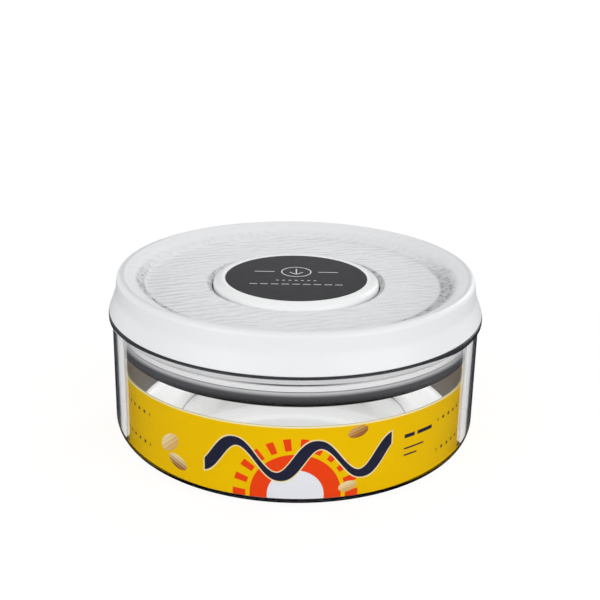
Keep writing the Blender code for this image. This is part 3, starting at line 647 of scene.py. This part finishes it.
# Wall of the plug, lengths in millimetres: the painted shade line of its step, weaker aside, and painted
# shade on its top. Its white is brighter than the lid's: painted light
PLUG_LIT_WHITE = (0.93, 0.93, 0.94)
PLUG_DEEPER = (0.90, 0.90, 0.915)
PLUG_SHADE_LINE = (0.10, 0.10, 0.115)
PLUG_LINE_Z = 50.2
PLUG_LINE_HALF = (0.28, 0.65)
PLUG_LINE_RADIUS = 72.0
PLUG_LINE_FADE = (0.05, 0.40)
PLUG_LINE_SIDES = 0.40
PLUG_CREST_START = (50.9, 51.4)
PLUG_CREST_END = (52.6, 53.4)
PLUG_CREST_SHARE = 0.12
PLUG_ROUGHNESS = (0.34, 0.48)


def plug_plastic(name):
    """White wall of the plug, with a painted dark line of shade along the small step about it."""
    made, tree, shader = new_material(name, PLUG_LIT_WHITE, 0.40)
    where = place(tree)
    cloud = noise(tree, where, CLOUD_SIZE)
    axes = split(tree, where)
    high = axes[2]
    # Painted shade: a dark line along the step, weaker aside, and a little on the top under the skirt
    line = flip(tree, step(tree, size_of(tree, minus(tree, high, PLUG_LINE_Z)), *PLUG_LINE_HALF))
    aside = size_of(tree, calc(tree, "DIVIDE", axes[0], PLUG_LINE_RADIUS))
    line = both(tree, line, spread(tree, step(tree, aside, *PLUG_LINE_FADE), 1.0, PLUG_LINE_SIDES))
    crest = both(tree, step(tree, high, *PLUG_CREST_START), flip(tree, step(tree, high, *PLUG_CREST_END)))
    line = larger(tree, line, both(tree, crest, PLUG_CREST_SHARE))
    tint = blend(tree, line, blend(tree, cloud, PLUG_LIT_WHITE, PLUG_DEEPER), PLUG_SHADE_LINE)
    finish(tree, shader, tint, spread(tree, cloud, *PLUG_ROUGHNESS))
    bump(tree, shader, noise(tree, where, FINE_GRAIN_SIZE), FINE_GRAIN_DEPTH)
    return made


BADGE_TONES = ((0.030, 0.030, 0.034), (0.044, 0.044, 0.049))
BADGE_ROUGHNESS = (0.42, 0.55)
BADGE_PATCH_SIZE = 4.0
BADGE_SPECK_SIZE = 0.3
BADGE_SPECK_DEPTH = 0.004


def badge_face(name):
    """Dark satin disc with fine specks."""
    made, tree, shader = new_material(name, (0.040, 0.040, 0.044), 0.5)
    shader.inputs["Specular IOR Level"].default_value = 0.05
    where = place(tree)
    speck = noise(tree, where, BADGE_SPECK_SIZE)
    tint = blend(tree, speck, *BADGE_TONES)
    finish(tree, shader, tint, spread(tree, noise(tree, where, BADGE_PATCH_SIZE), *BADGE_ROUGHNESS))
    bump(tree, shader, speck, BADGE_SPECK_DEPTH)
    return made


# Print on the sleeve: its colours, and its shapes in millimetres along the sleeve from the front's middle
# and up from its lower edge
YELLOW = (0.94, 0.575, 0.0)
ORANGE = (0.90, 0.060, 0.008)
PANEL = (0.84, 0.87, 0.92)
NAVY = (0.018, 0.020, 0.045)
CREAM = (0.93, 0.78, 0.44)
BROWN = (0.32, 0.11, 0.03)
PAPER = (0.97, 0.88, 0.50)
TAN = (0.72, 0.42, 0.14)

SUN_PLACE = (1.0, 1.0)
SUN_CORE = 10.5
SUN_EDGE = 17.0
RAY_START = (18.4, 18.7)
RAY_END = 23.5
RAY_COUNT = 22.0
RAY_SHARE = (0.10, 0.22)

WAVE_MIDDLE = (2.0, 15.2)
WAVE_LENGTH = 31.0
WAVE_HEIGHT = 6.6
WAVE_REACH = 36.0
WAVE_HALF = 1.7
WAVE_SWELL = 0.55
WAVE_EDGE = 0.45

# Almonds as centre, half sizes, tilt, light and deep colour, and how their backs are furrowed and lit
FURROW_PITCH = 13.0
FURROW_BEND = 6.0
FURROW_SHADE = 0.16
BACK_LIGHT = 0.45
TIP_LIGHT = -0.15
ALMONDS = [
    ((-50.5, 13.5), 5.2, 3.2, 0.7, CREAM, TAN),
    ((-46.5, 6.5), 4.6, 2.7, -0.4, CREAM, BROWN),
    ((24.0, 26.0), 4.0, 2.3, 0.3, TAN, BROWN),
    ((20.5, 3.8), 3.6, 2.0, 0.2, CREAM, TAN),
]

# Dots in rows on the far side, and bars as height, start, end and half thickness
DOT_ROWS = (8.0, 21.0)
DOT_PITCH = 4.0
DOT_RADIUS = 0.7
DOT_START = (62.0, 62.2)
BARS = [
    (19.6, 44.0, 49.0, 0.8),
    (19.6, 50.4, 58.5, 0.8),
    (14.4, 44.0, 54.0, 0.35),
    (11.6, 44.0, 50.5, 0.35),
]
BAR_SOFT = 0.1
RIM_START = 0.85
RIM_FULL = 0.60
YELLOW_DEEPER = 0.93
TONE_SIZE = 14.0
PAPER_ROUGHNESS = (0.52, 0.68)
PAPER_GRAIN_SIZE = 0.4
PAPER_GRAIN_DEPTH = 0.004


def print_sun(tree, across, up, colour):
    """Rising sun: an orange disc, a white one inside it, and short rays."""
    dx = minus(tree, across, SUN_PLACE[0])
    dy = minus(tree, up, SUN_PLACE[1])
    span = length(tree, dx, dy)
    comb = calc(tree, "COSINE", both(tree, calc(tree, "ARCTAN2", dy, dx), RAY_COUNT))
    ring = both(tree, step(tree, span, *RAY_START), inside(tree, minus(tree, span, RAY_END)))
    colour = blend(tree, both(tree, step(tree, comb, *RAY_SHARE), ring), colour, ORANGE)
    colour = blend(tree, inside(tree, minus(tree, span, SUN_EDGE)), colour, ORANGE)
    return blend(tree, inside(tree, minus(tree, span, SUN_CORE)), colour, PANEL)


def oval(tree, across, up, centre, half_width, half_height, tilt):
    """Place along and across a tilted ellipse, and how far outside it in millimetres."""
    x = minus(tree, across, centre[0])
    y = minus(tree, up, centre[1])
    c, s = math.cos(tilt), math.sin(tilt)
    along = calc(tree, "DIVIDE", calc(tree, "MULTIPLY_ADD", x, c, both(tree, y, s)), half_width)
    over = calc(tree, "DIVIDE", calc(tree, "MULTIPLY_ADD", x, -s, both(tree, y, c)), half_height)
    beyond = both(tree, minus(tree, length(tree, along, over), 1.0), min(half_width, half_height))
    return along, over, beyond


def print_almonds(tree, across, up, tone, colour):
    """Almonds, with lighter backs and fine furrows."""
    for centre, half_width, half_height, tilt, light, deep in ALMONDS:
        along, over, beyond = oval(tree, across, up, centre, half_width, half_height, tilt)
        furrow = calc(tree, "MULTIPLY_ADD", over, FURROW_PITCH, both(tree, tone, FURROW_BEND))
        rise = calc(tree, "MULTIPLY_ADD", over, BACK_LIGHT, BACK_LIGHT)
        rise = calc(tree, "MULTIPLY_ADD", calc(tree, "SINE", furrow), FURROW_SHADE, rise)
        rise = calc(tree, "MULTIPLY_ADD", along, TIP_LIGHT, rise)
        skin = blend(tree, step(tree, rise, 0.0, 1.0), deep, light)
        colour = blend(tree, inside(tree, beyond), colour, skin)
    return colour


def print_wave(tree, across, up, colour):
    """Broad wave with a cream edge, thicker where it climbs."""
    from_middle = minus(tree, across, WAVE_MIDDLE[0])
    turns = 2 * math.pi / WAVE_LENGTH
    phase = both(tree, from_middle, turns)
    crest = calc(tree, "MULTIPLY_ADD", calc(tree, "SINE", phase), WAVE_HEIGHT, WAVE_MIDDLE[1])
    slope = both(tree, calc(tree, "COSINE", phase), WAVE_HEIGHT * turns)
    lean = calc(tree, "SQRT", calc(tree, "MULTIPLY_ADD", slope, slope, 1.0))
    gap = calc(tree, "DIVIDE", size_of(tree, minus(tree, up, crest)), lean)
    gap = minus(tree, gap, calc(tree, "MULTIPLY_ADD", slope, WAVE_SWELL, WAVE_HALF))
    beyond = larger(tree, gap, minus(tree, size_of(tree, from_middle), WAVE_REACH))
    colour = blend(tree, inside(tree, minus(tree, beyond, WAVE_EDGE)), colour, CREAM)
    return blend(tree, inside(tree, beyond), colour, NAVY)


def print_rows(tree, across, up, colour):
    """Dots in two rows on the far side, and short bars in three rows near the front's right end."""
    cell = calc(tree, "FRACT", calc(tree, "DIVIDE", across, DOT_PITCH))
    dot_x = both(tree, minus(tree, cell, 0.5), DOT_PITCH)
    behind = step(tree, size_of(tree, across), *DOT_START)
    for level in DOT_ROWS:
        far = length(tree, dot_x, minus(tree, up, level))
        dots = both(tree, inside(tree, minus(tree, far, DOT_RADIUS)), behind)
        colour = blend(tree, dots, colour, NAVY)
    for level, start, end, half in BARS:
        row = inside(tree, minus(tree, size_of(tree, minus(tree, up, level)), half))
        after = step(tree, across, start - BAR_SOFT, start + BAR_SOFT)
        bar = both(tree, row, after, inside(tree, minus(tree, across, end)))
        colour = blend(tree, bar, colour, NAVY)
    return colour


def printed_sleeve(name):
    """Print on the sleeve: a rising sun, almonds, a broad wave across them, dots and bars."""
    made, tree, shader = new_material(name, YELLOW, 0.6)
    shader.inputs["Specular IOR Level"].default_value = 0.03
    where = place(tree)
    x, y, z = split(tree, where)
    turn = calc(tree, "ARCTAN2", x, both(tree, y, -1.0))
    across = both(tree, turn, SLEEVE_RADIUS * MM_PER_METRE)
    up = minus(tree, z, SLEEVE_BOTTOM * MM_PER_METRE)
    tone = noise(tree, where, TONE_SIZE)
    colour = blend(tree, tone, YELLOW, darker(YELLOW, YELLOW_DEEPER))
    colour = print_sun(tree, across, up, colour)
    colour = print_almonds(tree, across, up, tone, colour)
    colour = print_wave(tree, across, up, colour)
    colour = print_rows(tree, across, up, colour)
    top = SLEEVE_TOP * MM_PER_METRE
    colour = blend(tree, step(tree, z, top - RIM_START, top - RIM_FULL), colour, PAPER)
    grain = noise(tree, where, PAPER_GRAIN_SIZE)
    finish(tree, shader, colour, spread(tree, grain, *PAPER_ROUGHNESS))
    bump(tree, shader, grain, PAPER_GRAIN_DEPTH)
    return made


# Inner side of the sleeve: tones of its fibres near the floor and at the top, heights in millimetres
BOARD_LOW = ((0.72, 0.67, 0.65), (0.85, 0.80, 0.78))
BOARD_HIGH = ((0.74, 0.61, 0.43), (0.90, 0.77, 0.58))
BOARD_CLOUD_SIZE = 11.0
BOARD_CLOUD_RISE = 16.0
BOARD_RISE = (8.0, 38.0)
BOARD_ROUGHNESS = (0.45, 0.6)
FIBRE_STRETCH = (1, 1, 0.3)
FIBRE_SIZE = 0.8
FIBRE_DEPTH = 0.01


def sleeve_back(name):
    """Unprinted inner side of the sleeve, warm grey board, paler towards the floor."""
    made, tree, shader = new_material(name, (0.13, 0.115, 0.10), 0.5)
    fibre = noise(tree, place(tree, 0, FIBRE_STRETCH), FIBRE_SIZE)
    where = place(tree)
    cloud = noise(tree, where, BOARD_CLOUD_SIZE, 2.0)
    level = calc(tree, "MULTIPLY_ADD", cloud, BOARD_CLOUD_RISE, split(tree, where)[2])
    share = step(tree, level, *BOARD_RISE)
    deep, tone = (blend(tree, share, low, high) for low, high in zip(BOARD_LOW, BOARD_HIGH))
    finish(tree, shader, blend(tree, fibre, deep, tone), spread(tree, fibre, *BOARD_ROUGHNESS))
    bump(tree, shader, fibre, FIBRE_DEPTH)
    return made


# Materials

gloss_white = smooth_plastic("gloss_white", (0.83, 0.84, 0.855), 0.36)
# Painted light: the button's white is brighter than the lid's, for the light on its ring
ring_lit_white = smooth_plastic("ring_lit_white", (0.93, 0.935, 0.94), 0.34)
# Painted shade: the dish's white is a little darker than the skirt's, so the lid's top reads as less lit
dish_shaded_white = embossed_plastic("dish_shaded_white", (0.80, 0.81, 0.825), 0.30)
inner_white = smooth_plastic("inner_white", (0.76, 0.77, 0.78), 0.40)
# Painted light: the plug's white is brighter than the lid's, to make up for the skirt's shade over it
plug_lit_white = plug_plastic("plug_lit_white")
jar_clear = clear_plastic("jar_clear")
seal_grey = silicone("seal_grey")
bright_steel = steel("bright_steel")
badge_dark = badge_face("badge_dark")
sleeve_print = printed_sleeve("sleeve_print")
sleeve_inner = sleeve_back("sleeve_inner")
line_white = smooth_plastic("line_white", (0.75, 0.76, 0.78), 0.4)

SLOT_LOOKS = {
    "clear_plastic": jar_clear,
    "printed_paper": sleeve_print,
    "white_plastic": gloss_white,
    "dark_badge": badge_dark,
    "grey_silicone": seal_grey,
    "inner_plastic": inner_white,
    "steel": bright_steel,
}
NODE_SLOTS = {part["node"]: part["material_slot"] for part in frame["record"]["subparts"]}
for name, node in frame["nodes"].items():
    node.data.materials.clear()
    node.data.materials.append(SLOT_LOOKS[NODE_SLOTS[name]])


# Pieces


def make_jar():
    """Wall, floor, rim and flange of the jar, with the moulded rings under its floor."""
    corners = [
        (0, JAR_FLOOR, 0),
        (BORE, JAR_FLOOR, FLOOR_FILLET),
        (BORE, JAR_HEIGHT, RIM_FILLET),
        (RIM_RADIUS, JAR_HEIGHT, RIM_FILLET),
        (RIM_RADIUS, FLANGE_TOP, NECK_FILLET),
        (FLANGE_RADIUS, FLANGE_TOP, RIM_FILLET),
        (FLANGE_RADIUS, FLANGE_BOTTOM, FLANGE_FILLET),
        (JAR_RADIUS, FLANGE_BOTTOM, EDGE_FILLET),
        (JAR_RADIUS, 0, BASE_FILLET),
        (FOOT_BORE, 0, FOOT_FILLET),
        (*OUTER_STEP[0], 0),
        (*OUTER_STEP[1], 0),
        (*UNDER_CROWN, FOOT_FILLET),
        (*INNER_STEP[0], 0),
        (*INNER_STEP[1], 0),
        (0, UNDER_MIDDLE, 0),
    ]
    jar = turned("jar_wall", corners, closed=False, sharp=JAR_SHARP_ANGLE)
    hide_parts("jar_body")
    dress(jar, "canister", "clear_plastic", jar_clear)
    jar.visible_shadow = False
    jar.visible_diffuse = False


def make_sleeve():
    """Printed sleeve, with its inner side and its cut edges in materials of their own."""
    corners = [
        (SLEEVE_RADIUS, SLEEVE_TOP, 0),
        (SLEEVE_RADIUS, SLEEVE_BOTTOM, 0),
        (SLEEVE_BORE, SLEEVE_BOTTOM, 0),
        (SLEEVE_BORE, SLEEVE_TOP, 0),
    ]
    sleeve = turned("label_wrap", corners)
    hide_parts("label_sleeve")
    cream = smooth_plastic("sleeve_edge", (0.80, 0.72, 0.45), 0.5)
    dress(sleeve, "canister", "printed_paper", sleeve_print, sleeve_inner, cream)
    middle = (SLEEVE_RADIUS + SLEEVE_BORE) / 2
    for face in sleeve.data.polygons:
        outwards = face.normal.dot(Vector((*face.center.xy, 0)).normalized())
        if abs(outwards) < 0.5:
            face.material_index = 2
        elif face.center.xy.length < middle:
            face.material_index = 1


def make_lid():
    """Lid shell with its skirt, its dish and the guide about the button's hole."""
    corners = [
        (HOLE_RADIUS + HOLE_CHAMFER, FIELD_Z, SOFT_FILLET),
        (SLOPE_FOOT, FIELD_Z, SLOPE_FILLET),
        (SLOPE_TOP, CREST_Z, CREST_FILLET),
        (CREST_RADIUS, CREST_Z, CREST_FILLET),
        (WAIST_RADIUS, WAIST_Z, WAIST_FILLET),
        (SKIRT_RADIUS, SKIRT_BOTTOM, EDGE_FILLET),
        (SKIRT_BORE, SKIRT_BOTTOM, EDGE_FILLET),
        (SKIRT_BORE, SKIRT_ROOF, 0),
        (WAIST_RADIUS - COVER_WALL, WAIST_Z, 0),
        (CREST_RADIUS - COVER_WALL, CREST_Z - COVER_WALL, 0),
        (SLOPE_TOP + EDGE_FILLET, CREST_Z - COVER_WALL, 0),
        (SLOPE_FOOT + EDGE_FILLET, COVER_UNDERSIDE, 0),
        (HOLE_RADIUS + GUIDE_WALL, COVER_UNDERSIDE, 0),
        (HOLE_RADIUS + GUIDE_WALL, GUIDE_BOTTOM, 0),
        (HOLE_RADIUS, GUIDE_BOTTOM, 0),
        (HOLE_RADIUS, FIELD_Z - HOLE_CHAMFER_DROP, EDGE_FILLET),
    ]
    lid = turned("lid_shell", corners)
    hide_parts("lid_cover")
    dress(lid, "lid", "white_plastic", gloss_white, dish_shaded_white)
    for face in lid.data.polygons:
        if face.normal.z > 0.1 and face.center.xy.length < DISH_RADIUS:
            face.material_index = 1


def make_button():
    """Button cap with the seat of its badge, its flange and its stem."""
    corners = [
        (0, BADGE_SEAT, 0),
        (BADGE_RADIUS + BADGE_GAP, BADGE_SEAT, 0),
        (BADGE_RADIUS + BADGE_GAP, BUTTON_TOP, TINY_FILLET),
        (BUTTON_FLAT, BUTTON_TOP, CAP_FILLET),
        (BUTTON_RADIUS, BUTTON_TOP - BUTTON_DROP, CAP_EDGE_FILLET),
        (BUTTON_RADIUS, BUTTON_FLANGE_TOP, 0),
        (BUTTON_FLANGE_RADIUS, BUTTON_FLANGE_TOP, 0),
        (BUTTON_FLANGE_RADIUS, BUTTON_FLANGE_BOTTOM, 0),
        (BUTTON_BORE, BUTTON_FLANGE_BOTTOM, 0),
        (BUTTON_BORE, BUTTON_UNDERSIDE, 0),
        (STEM_ROOT, BUTTON_UNDERSIDE, 0),
        (STEM_ROOT, STEM_SHOULDER, 0),
        (STEM_RADIUS, STEM_SHOULDER, 0),
        (STEM_RADIUS, STEM_BOTTOM, 0),
        (0, STEM_BOTTOM, 0),
    ]
    button = turned("button_cap", corners, closed=False)
    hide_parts("push_button")
    dress(button, "button", "white_plastic", ring_lit_white)


def make_badge():
    """Dark disc let into the button."""
    corners = [
        (0, BUTTON_TOP, 0),
        (BADGE_RADIUS, BUTTON_TOP, BADGE_FILLET),
        (BADGE_RADIUS, BADGE_UNDERSIDE, 0),
        (0, BADGE_UNDERSIDE, 0),
    ]
    badge = turned("badge_disc", corners, closed=False)
    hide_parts("button_badge")
    dress(badge, "button", "dark_badge", badge_dark)


# Marks on the badge, in millimetres from its middle: a ring, strokes as start and end, and rows of dashes
# as height, pitch, half length and how many lie on each side of the middle
MARK_HALF = 0.24
MARK_SINK = 0.02
MARK_RISE = 0.03
RING_CENTRE = (0, 6.5)
RING_RADIUS = 6.2
STROKES = [
    ((0, 10.2), (0, 3.2)),
    ((-2.6, 5.9), (0, 3.1)),
    ((2.6, 5.9), (0, 3.1)),
    ((-17.5, 6.5), (-9.5, 6.5)),
    ((9.5, 6.5), (17.5, 6.5)),
]
DASH_ROWS = [
    (-9.5, 4.4, 1.3, 4),
    (-4.6, 2.6, 0.35, 3),
]


def ring_outlines(half):
    """The ring as short outlines, one behind the other."""
    hub = Vector(RING_CENTRE) * MM
    radius = RING_RADIUS * MM
    outlines = []
    for k in range(MARK_STEPS):
        start, end = [2 * math.pi * (k + share) / MARK_STEPS for share in (0, 1)]
        inner, outer = radius - half, radius + half
        corners = ((inner, start), (inner, end), (outer, end), (outer, start))
        outlines.append([hub + r * Vector((math.cos(turn), math.sin(turn))) for r, turn in corners])
    return outlines


def stroke_outlines(half):
    """Strokes and dashes, each as a bar with square ends."""
    strokes = list(STROKES)
    for level, pitch, reach_out, count in DASH_ROWS:
        for k in range(-count, count + 1):
            strokes.append(((pitch * k - reach_out, level), (pitch * k + reach_out, level)))
    outlines = []
    for start, end in strokes:
        start, end = Vector(start) * MM, Vector(end) * MM
        along = (end - start).normalized() * half
        over = Vector((-along.y, along.x))
        start, end = start - along, end + along
        outlines.append([start - over, end - over, end + over, start + over])
    return outlines


def make_marks():
    """White marks on the badge: a ring with an arrow down into it, and rows of bars and dots."""
    half = MARK_HALF * MM
    low, high = BUTTON_TOP - MARK_SINK * MM, BUTTON_TOP + MARK_RISE * MM
    vertices = []
    faces = []
    for outline in ring_outlines(half) + stroke_outlines(half):
        first = len(vertices)
        count = len(outline)
        vertices += [(*p, z) for z in (low, high) for p in outline]
        faces.append([first + count + k for k in range(count)])
        for k in range(count):
            n = (k + 1) % count
            faces.append([first + k, first + n, first + count + n, first + count + k])
    marks = add_mesh("badge_marks", vertices, faces)
    dress(marks, "button", "white_plastic", line_white)


def make_seal():
    """Silicone ring with a bulge about its outer side."""
    middle = (GASKET_TOP + GASKET_BOTTOM) / 2
    corners = [
        (GASKET_RADIUS - GASKET_BULGE, GASKET_TOP, GASKET_FILLET),
        (GASKET_RADIUS, middle + GASKET_HALF_FLAT, SOFT_FILLET),
        (GASKET_RADIUS, middle - GASKET_HALF_FLAT, SOFT_FILLET),
        (GASKET_RADIUS - GASKET_BULGE, GASKET_BOTTOM, GASKET_FILLET),
        (GASKET_BORE, GASKET_BOTTOM, 0),
        (GASKET_BORE, GASKET_TOP, 0),
    ]
    seal = turned("seal_ring", corners)
    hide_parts("gasket")
    dress(seal, "lid", "grey_silicone", seal_grey)


def make_plate():
    """Pressure plate and the smooth cover under it, both with tapered rims."""
    corners = [
        (0, PANEL_TOP, 0),
        (PANEL_RADIUS, PANEL_TOP, EDGE_FILLET),
        (PANEL_RADIUS, PLATE_TOP, 0),
        (PLATE_RADIUS, PLATE_TOP, TINY_FILLET),
        (PLATE_FOOT, PLATE_BOTTOM, EDGE_FILLET),
        (PANEL_BORE, PLATE_BOTTOM, 0),
        (PANEL_BORE, PANEL_BOTTOM, 0),
        (0, PANEL_BOTTOM, 0),
    ]
    plate = turned("plate_disc", corners, closed=False)
    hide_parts("pressure_plate")
    dress(plate, "plate", "inner_plastic", inner_white)
    corners = [
        (0, UNDER_TOP, 0),
        (CLIP_BORE, UNDER_TOP, 0),
        (CLIP_BORE, CLIP_TOP, 0),
        (CLIP_RADIUS, CLIP_TOP, 0),
        (CLIP_RADIUS, UNDER_TOP, 0),
        (UNDER_RADIUS, UNDER_TOP, TINY_FILLET),
        (UNDER_FOOT, UNDER_BOTTOM, RIM_FILLET),
        (0, UNDER_BOTTOM, 0),
    ]
    cover = turned("plate_cover", corners, closed=False)
    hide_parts("bottom_cover")
    dress(cover, "plate", "white_plastic", gloss_white)


def make_plug():
    """Smooth outer skin of the plug with its groove, a hair outside the housing's own wall."""
    outer = PLUG_RADIUS + PLUG_SKIN
    lower = PLUG_RADIUS - PLUG_STEP + PLUG_SKIN
    corners = [
        (outer, JAR_HEIGHT, 0),
        (outer, GROOVE_TOP, GROOVE_BEVEL),
        (PLUG_RADIUS - GROOVE_DEPTH, GROOVE_TOP - GROOVE_BEVEL, 0),
        (PLUG_RADIUS - GROOVE_DEPTH, GROOVE_BOTTOM + GROOVE_BEVEL, 0),
        (lower, GROOVE_BOTTOM, GROOVE_BEVEL),
        (lower, PLUG_BOTTOM, NECK_FILLET),
        (PLUG_RADIUS - PLUG_SKIN_DEPTH, PLUG_BOTTOM, 0),
        (PLUG_RADIUS - PLUG_SKIN_DEPTH, JAR_HEIGHT, 0),
    ]
    plug = turned("plug_skin", corners)
    dress(plug, "lid", "white_plastic", plug_lit_white)


make_jar()
make_sleeve()
make_lid()
make_button()
make_badge()
make_marks()
make_seal()
make_plate()
make_plug()


# Stage: light that the world gives, and how much of the floor's white comes of itself
WORLD_LIGHT = 0.60
FLOOR_SHARE = 0.78
FLOOR_GLOW = 1.11
FLOOR_HALF = 3.0
FLOOR_Z = -0.05 * MM

# Painted light on the floor, seen only through the clear wall: a little everywhere, and more on a ring
# under the jar, in millimetres
FLOOR_THROUGH_LIGHT = 0.03
FLOOR_RING_LIGHT = 0.37
FLOOR_RING_START = (38.0, 54.0)
FLOOR_RING_END = 72.0
FLOOR_RING_SOFT = 1.5

# Far soft lamps: name, strength, softness in degrees, and the direction that they shine from
LAMPS = [
    ("left_lamp", 0.95, 50, (-0.9, -0.8, 0.45)),
    ("right_lamp", 1.0, 50, (1.1, -0.8, 0.5)),
    ("back_lamp", 0.45, 20, (0.6, 0.8, 0.5)),
]

# Dark cards that the camera doesn't see, which darken reflections and what shows through the clear wall:
# painted dark reflections, and painted shade where they lie under the jar's foot. Each is name, lower and
# upper arc as (start, end, radius, height), in degrees and metres, and whether they show through the
# clear wall as well as in reflections
WIDE_FLAG_Z = -0.03 * MM
FLAG_Z = -0.02 * MM
FLAGS = [
    ("floor_flag", (0, 360, 0.0675, WIDE_FLAG_Z), (0, 360, 0.40, WIDE_FLAG_Z), False),
    ("foot_flag", (-153, -27, 0.0675, FLAG_Z), (-157, -23, 0.0785, FLAG_Z), True),
    ("front_flag", (-157, -23, 0.0785, FLAG_Z), (-206, 26, 0.25, FLAG_Z), True),
    ("left_flag", (102, 120, 0.55, 0.077), (102, 120, 0.55, 0.385), False),
    ("right_flag", (60, 78, 0.55, 0.077), (60, 78, 0.55, 0.385), False),
]


def make_floor():
    """Plain white floor that keeps the jar's shadow, with painted light where it is seen through the
    clear wall.
    """
    corners = [(x * FLOOR_HALF, y * FLOOR_HALF, 0) for x, y in ((-1, -1), (1, -1), (1, 1), (-1, 1))]
    floor = add_mesh("floor", corners, [(0, 1, 2, 3)])
    floor.location.z = FLOOR_Z
    made, tree, shader = new_material("floor_white", (0.80, 0.80, 0.80), 0.9)
    shader.inputs["Specular IOR Level"].default_value = 0.0
    radius = reach(tree, place(tree))
    rim = inside(tree, minus(tree, radius, FLOOR_RING_END), FLOOR_RING_SOFT)
    ring = both(tree, step(tree, radius, *FLOOR_RING_START), rim)
    # Painted light, only for rays through the clear wall, brightest on the ring under the jar
    through = calc(tree, "MULTIPLY_ADD", ring, FLOOR_RING_LIGHT, FLOOR_THROUGH_LIGHT)
    refracted = put(tree, "ShaderNodeLightPath").outputs["Is Transmission Ray"]
    bright = calc(tree, "MULTIPLY_ADD", refracted, through, FLOOR_GLOW)
    glow = put(tree, "ShaderNodeEmission", {"Color": (1, 1, 1, 1), "Strength": bright})
    share = both(tree, seen_rays(tree), FLOOR_SHARE)
    mix = put(tree, "ShaderNodeMixShader", (share, shader.outputs[0], glow.outputs[0]))
    tree.links.new(mix.outputs[0], tree.nodes["Material Output"].inputs["Surface"])
    floor.data.materials.append(made)


def make_world():
    """White backdrop, which lights the jar at a plain level."""
    world = bpy.data.worlds.new("studio")
    bpy.context.scene.world = world
    world.use_nodes = True
    tree = world.node_tree
    tree.nodes.clear()
    strength = calc(tree, "MULTIPLY_ADD", seen_rays(tree), 1 - WORLD_LIGHT, WORLD_LIGHT)
    back = put(tree, "ShaderNodeBackground", {"Color": (1, 1, 1, 1), "Strength": strength})
    out = put(tree, "ShaderNodeOutputWorld")
    tree.links.new(back.outputs[0], out.inputs["Surface"])


def add_lamp(name, strength, softness, source):
    """Far soft lamp that shines from the direction of source."""
    data = bpy.data.lights.new(name, "SUN")
    data.energy = strength
    data.angle = math.radians(softness)
    lamp = add(name, data)
    lamp.rotation_mode = "QUATERNION"
    lamp.rotation_quaternion = Vector(source).to_track_quat("Z", "Y")


def flag_look():
    """Black card without a gloss of its own."""
    made, _, shader = new_material("flag_black", (0.01, 0.01, 0.012), 0.9)
    shader.inputs["Specular IOR Level"].default_value = 0
    return made


def make_flag(material, name, low, high, through):
    """Dark card between two arcs of (start, end, radius, height), in degrees and metres, for painted dark
    reflections.
    """
    vertices = []
    for k in range(FLAG_STEPS + 1):
        for start, end, radius, height in (low, high):
            turn = math.radians(start + (end - start) * k / FLAG_STEPS)
            vertices.append((radius * math.cos(turn), radius * math.sin(turn), height))
    faces = [(2 * k, 2 * k + 1, 2 * k + 3, 2 * k + 2) for k in range(FLAG_STEPS)]
    flag = add_mesh(name, vertices, faces)
    flag.data.materials.append(material)
    flag.visible_camera = False
    flag.visible_diffuse = False
    flag.visible_shadow = False
    flag.visible_transmission = through


def make_camera():
    """Camera at the photograph's place, rolled as the photograph is."""
    data = bpy.data.cameras.new("camera")
    data.sensor_width = SENSOR_MM
    data.lens = FOCAL_PIXELS / FRAME_PIXELS * SENSOR_MM
    data.clip_start = CLIP_START
    data.clip_end = CLIP_END
    camera = add("camera", data)
    eye = Vector((0, -CAMERA_BACK, CAMERA_HEIGHT))
    ahead = (Vector((AIM_X, 0, AIM_Z)) - eye).normalized()
    right = ahead.cross(Vector((0, 0, 1))).normalized()
    down = ahead.cross(right)
    c, s = math.cos(CAMERA_ROLL), math.sin(CAMERA_ROLL)
    right, down = c * right + s * down, c * down - s * right
    turn = Matrix((right, -down, -ahead)).transposed()
    camera.matrix_world = Matrix.Translation(eye) @ turn.to_4x4()
    bpy.context.scene.camera = camera


make_floor()
make_world()
for name, strength, softness, source in LAMPS:
    add_lamp(name, strength, softness, source)
flag_black = flag_look()
for name, low, high, through in FLAGS:
    make_flag(flag_black, name, low, high, through)
make_camera()
bpy.context.scene.view_settings.view_transform = "Standard"
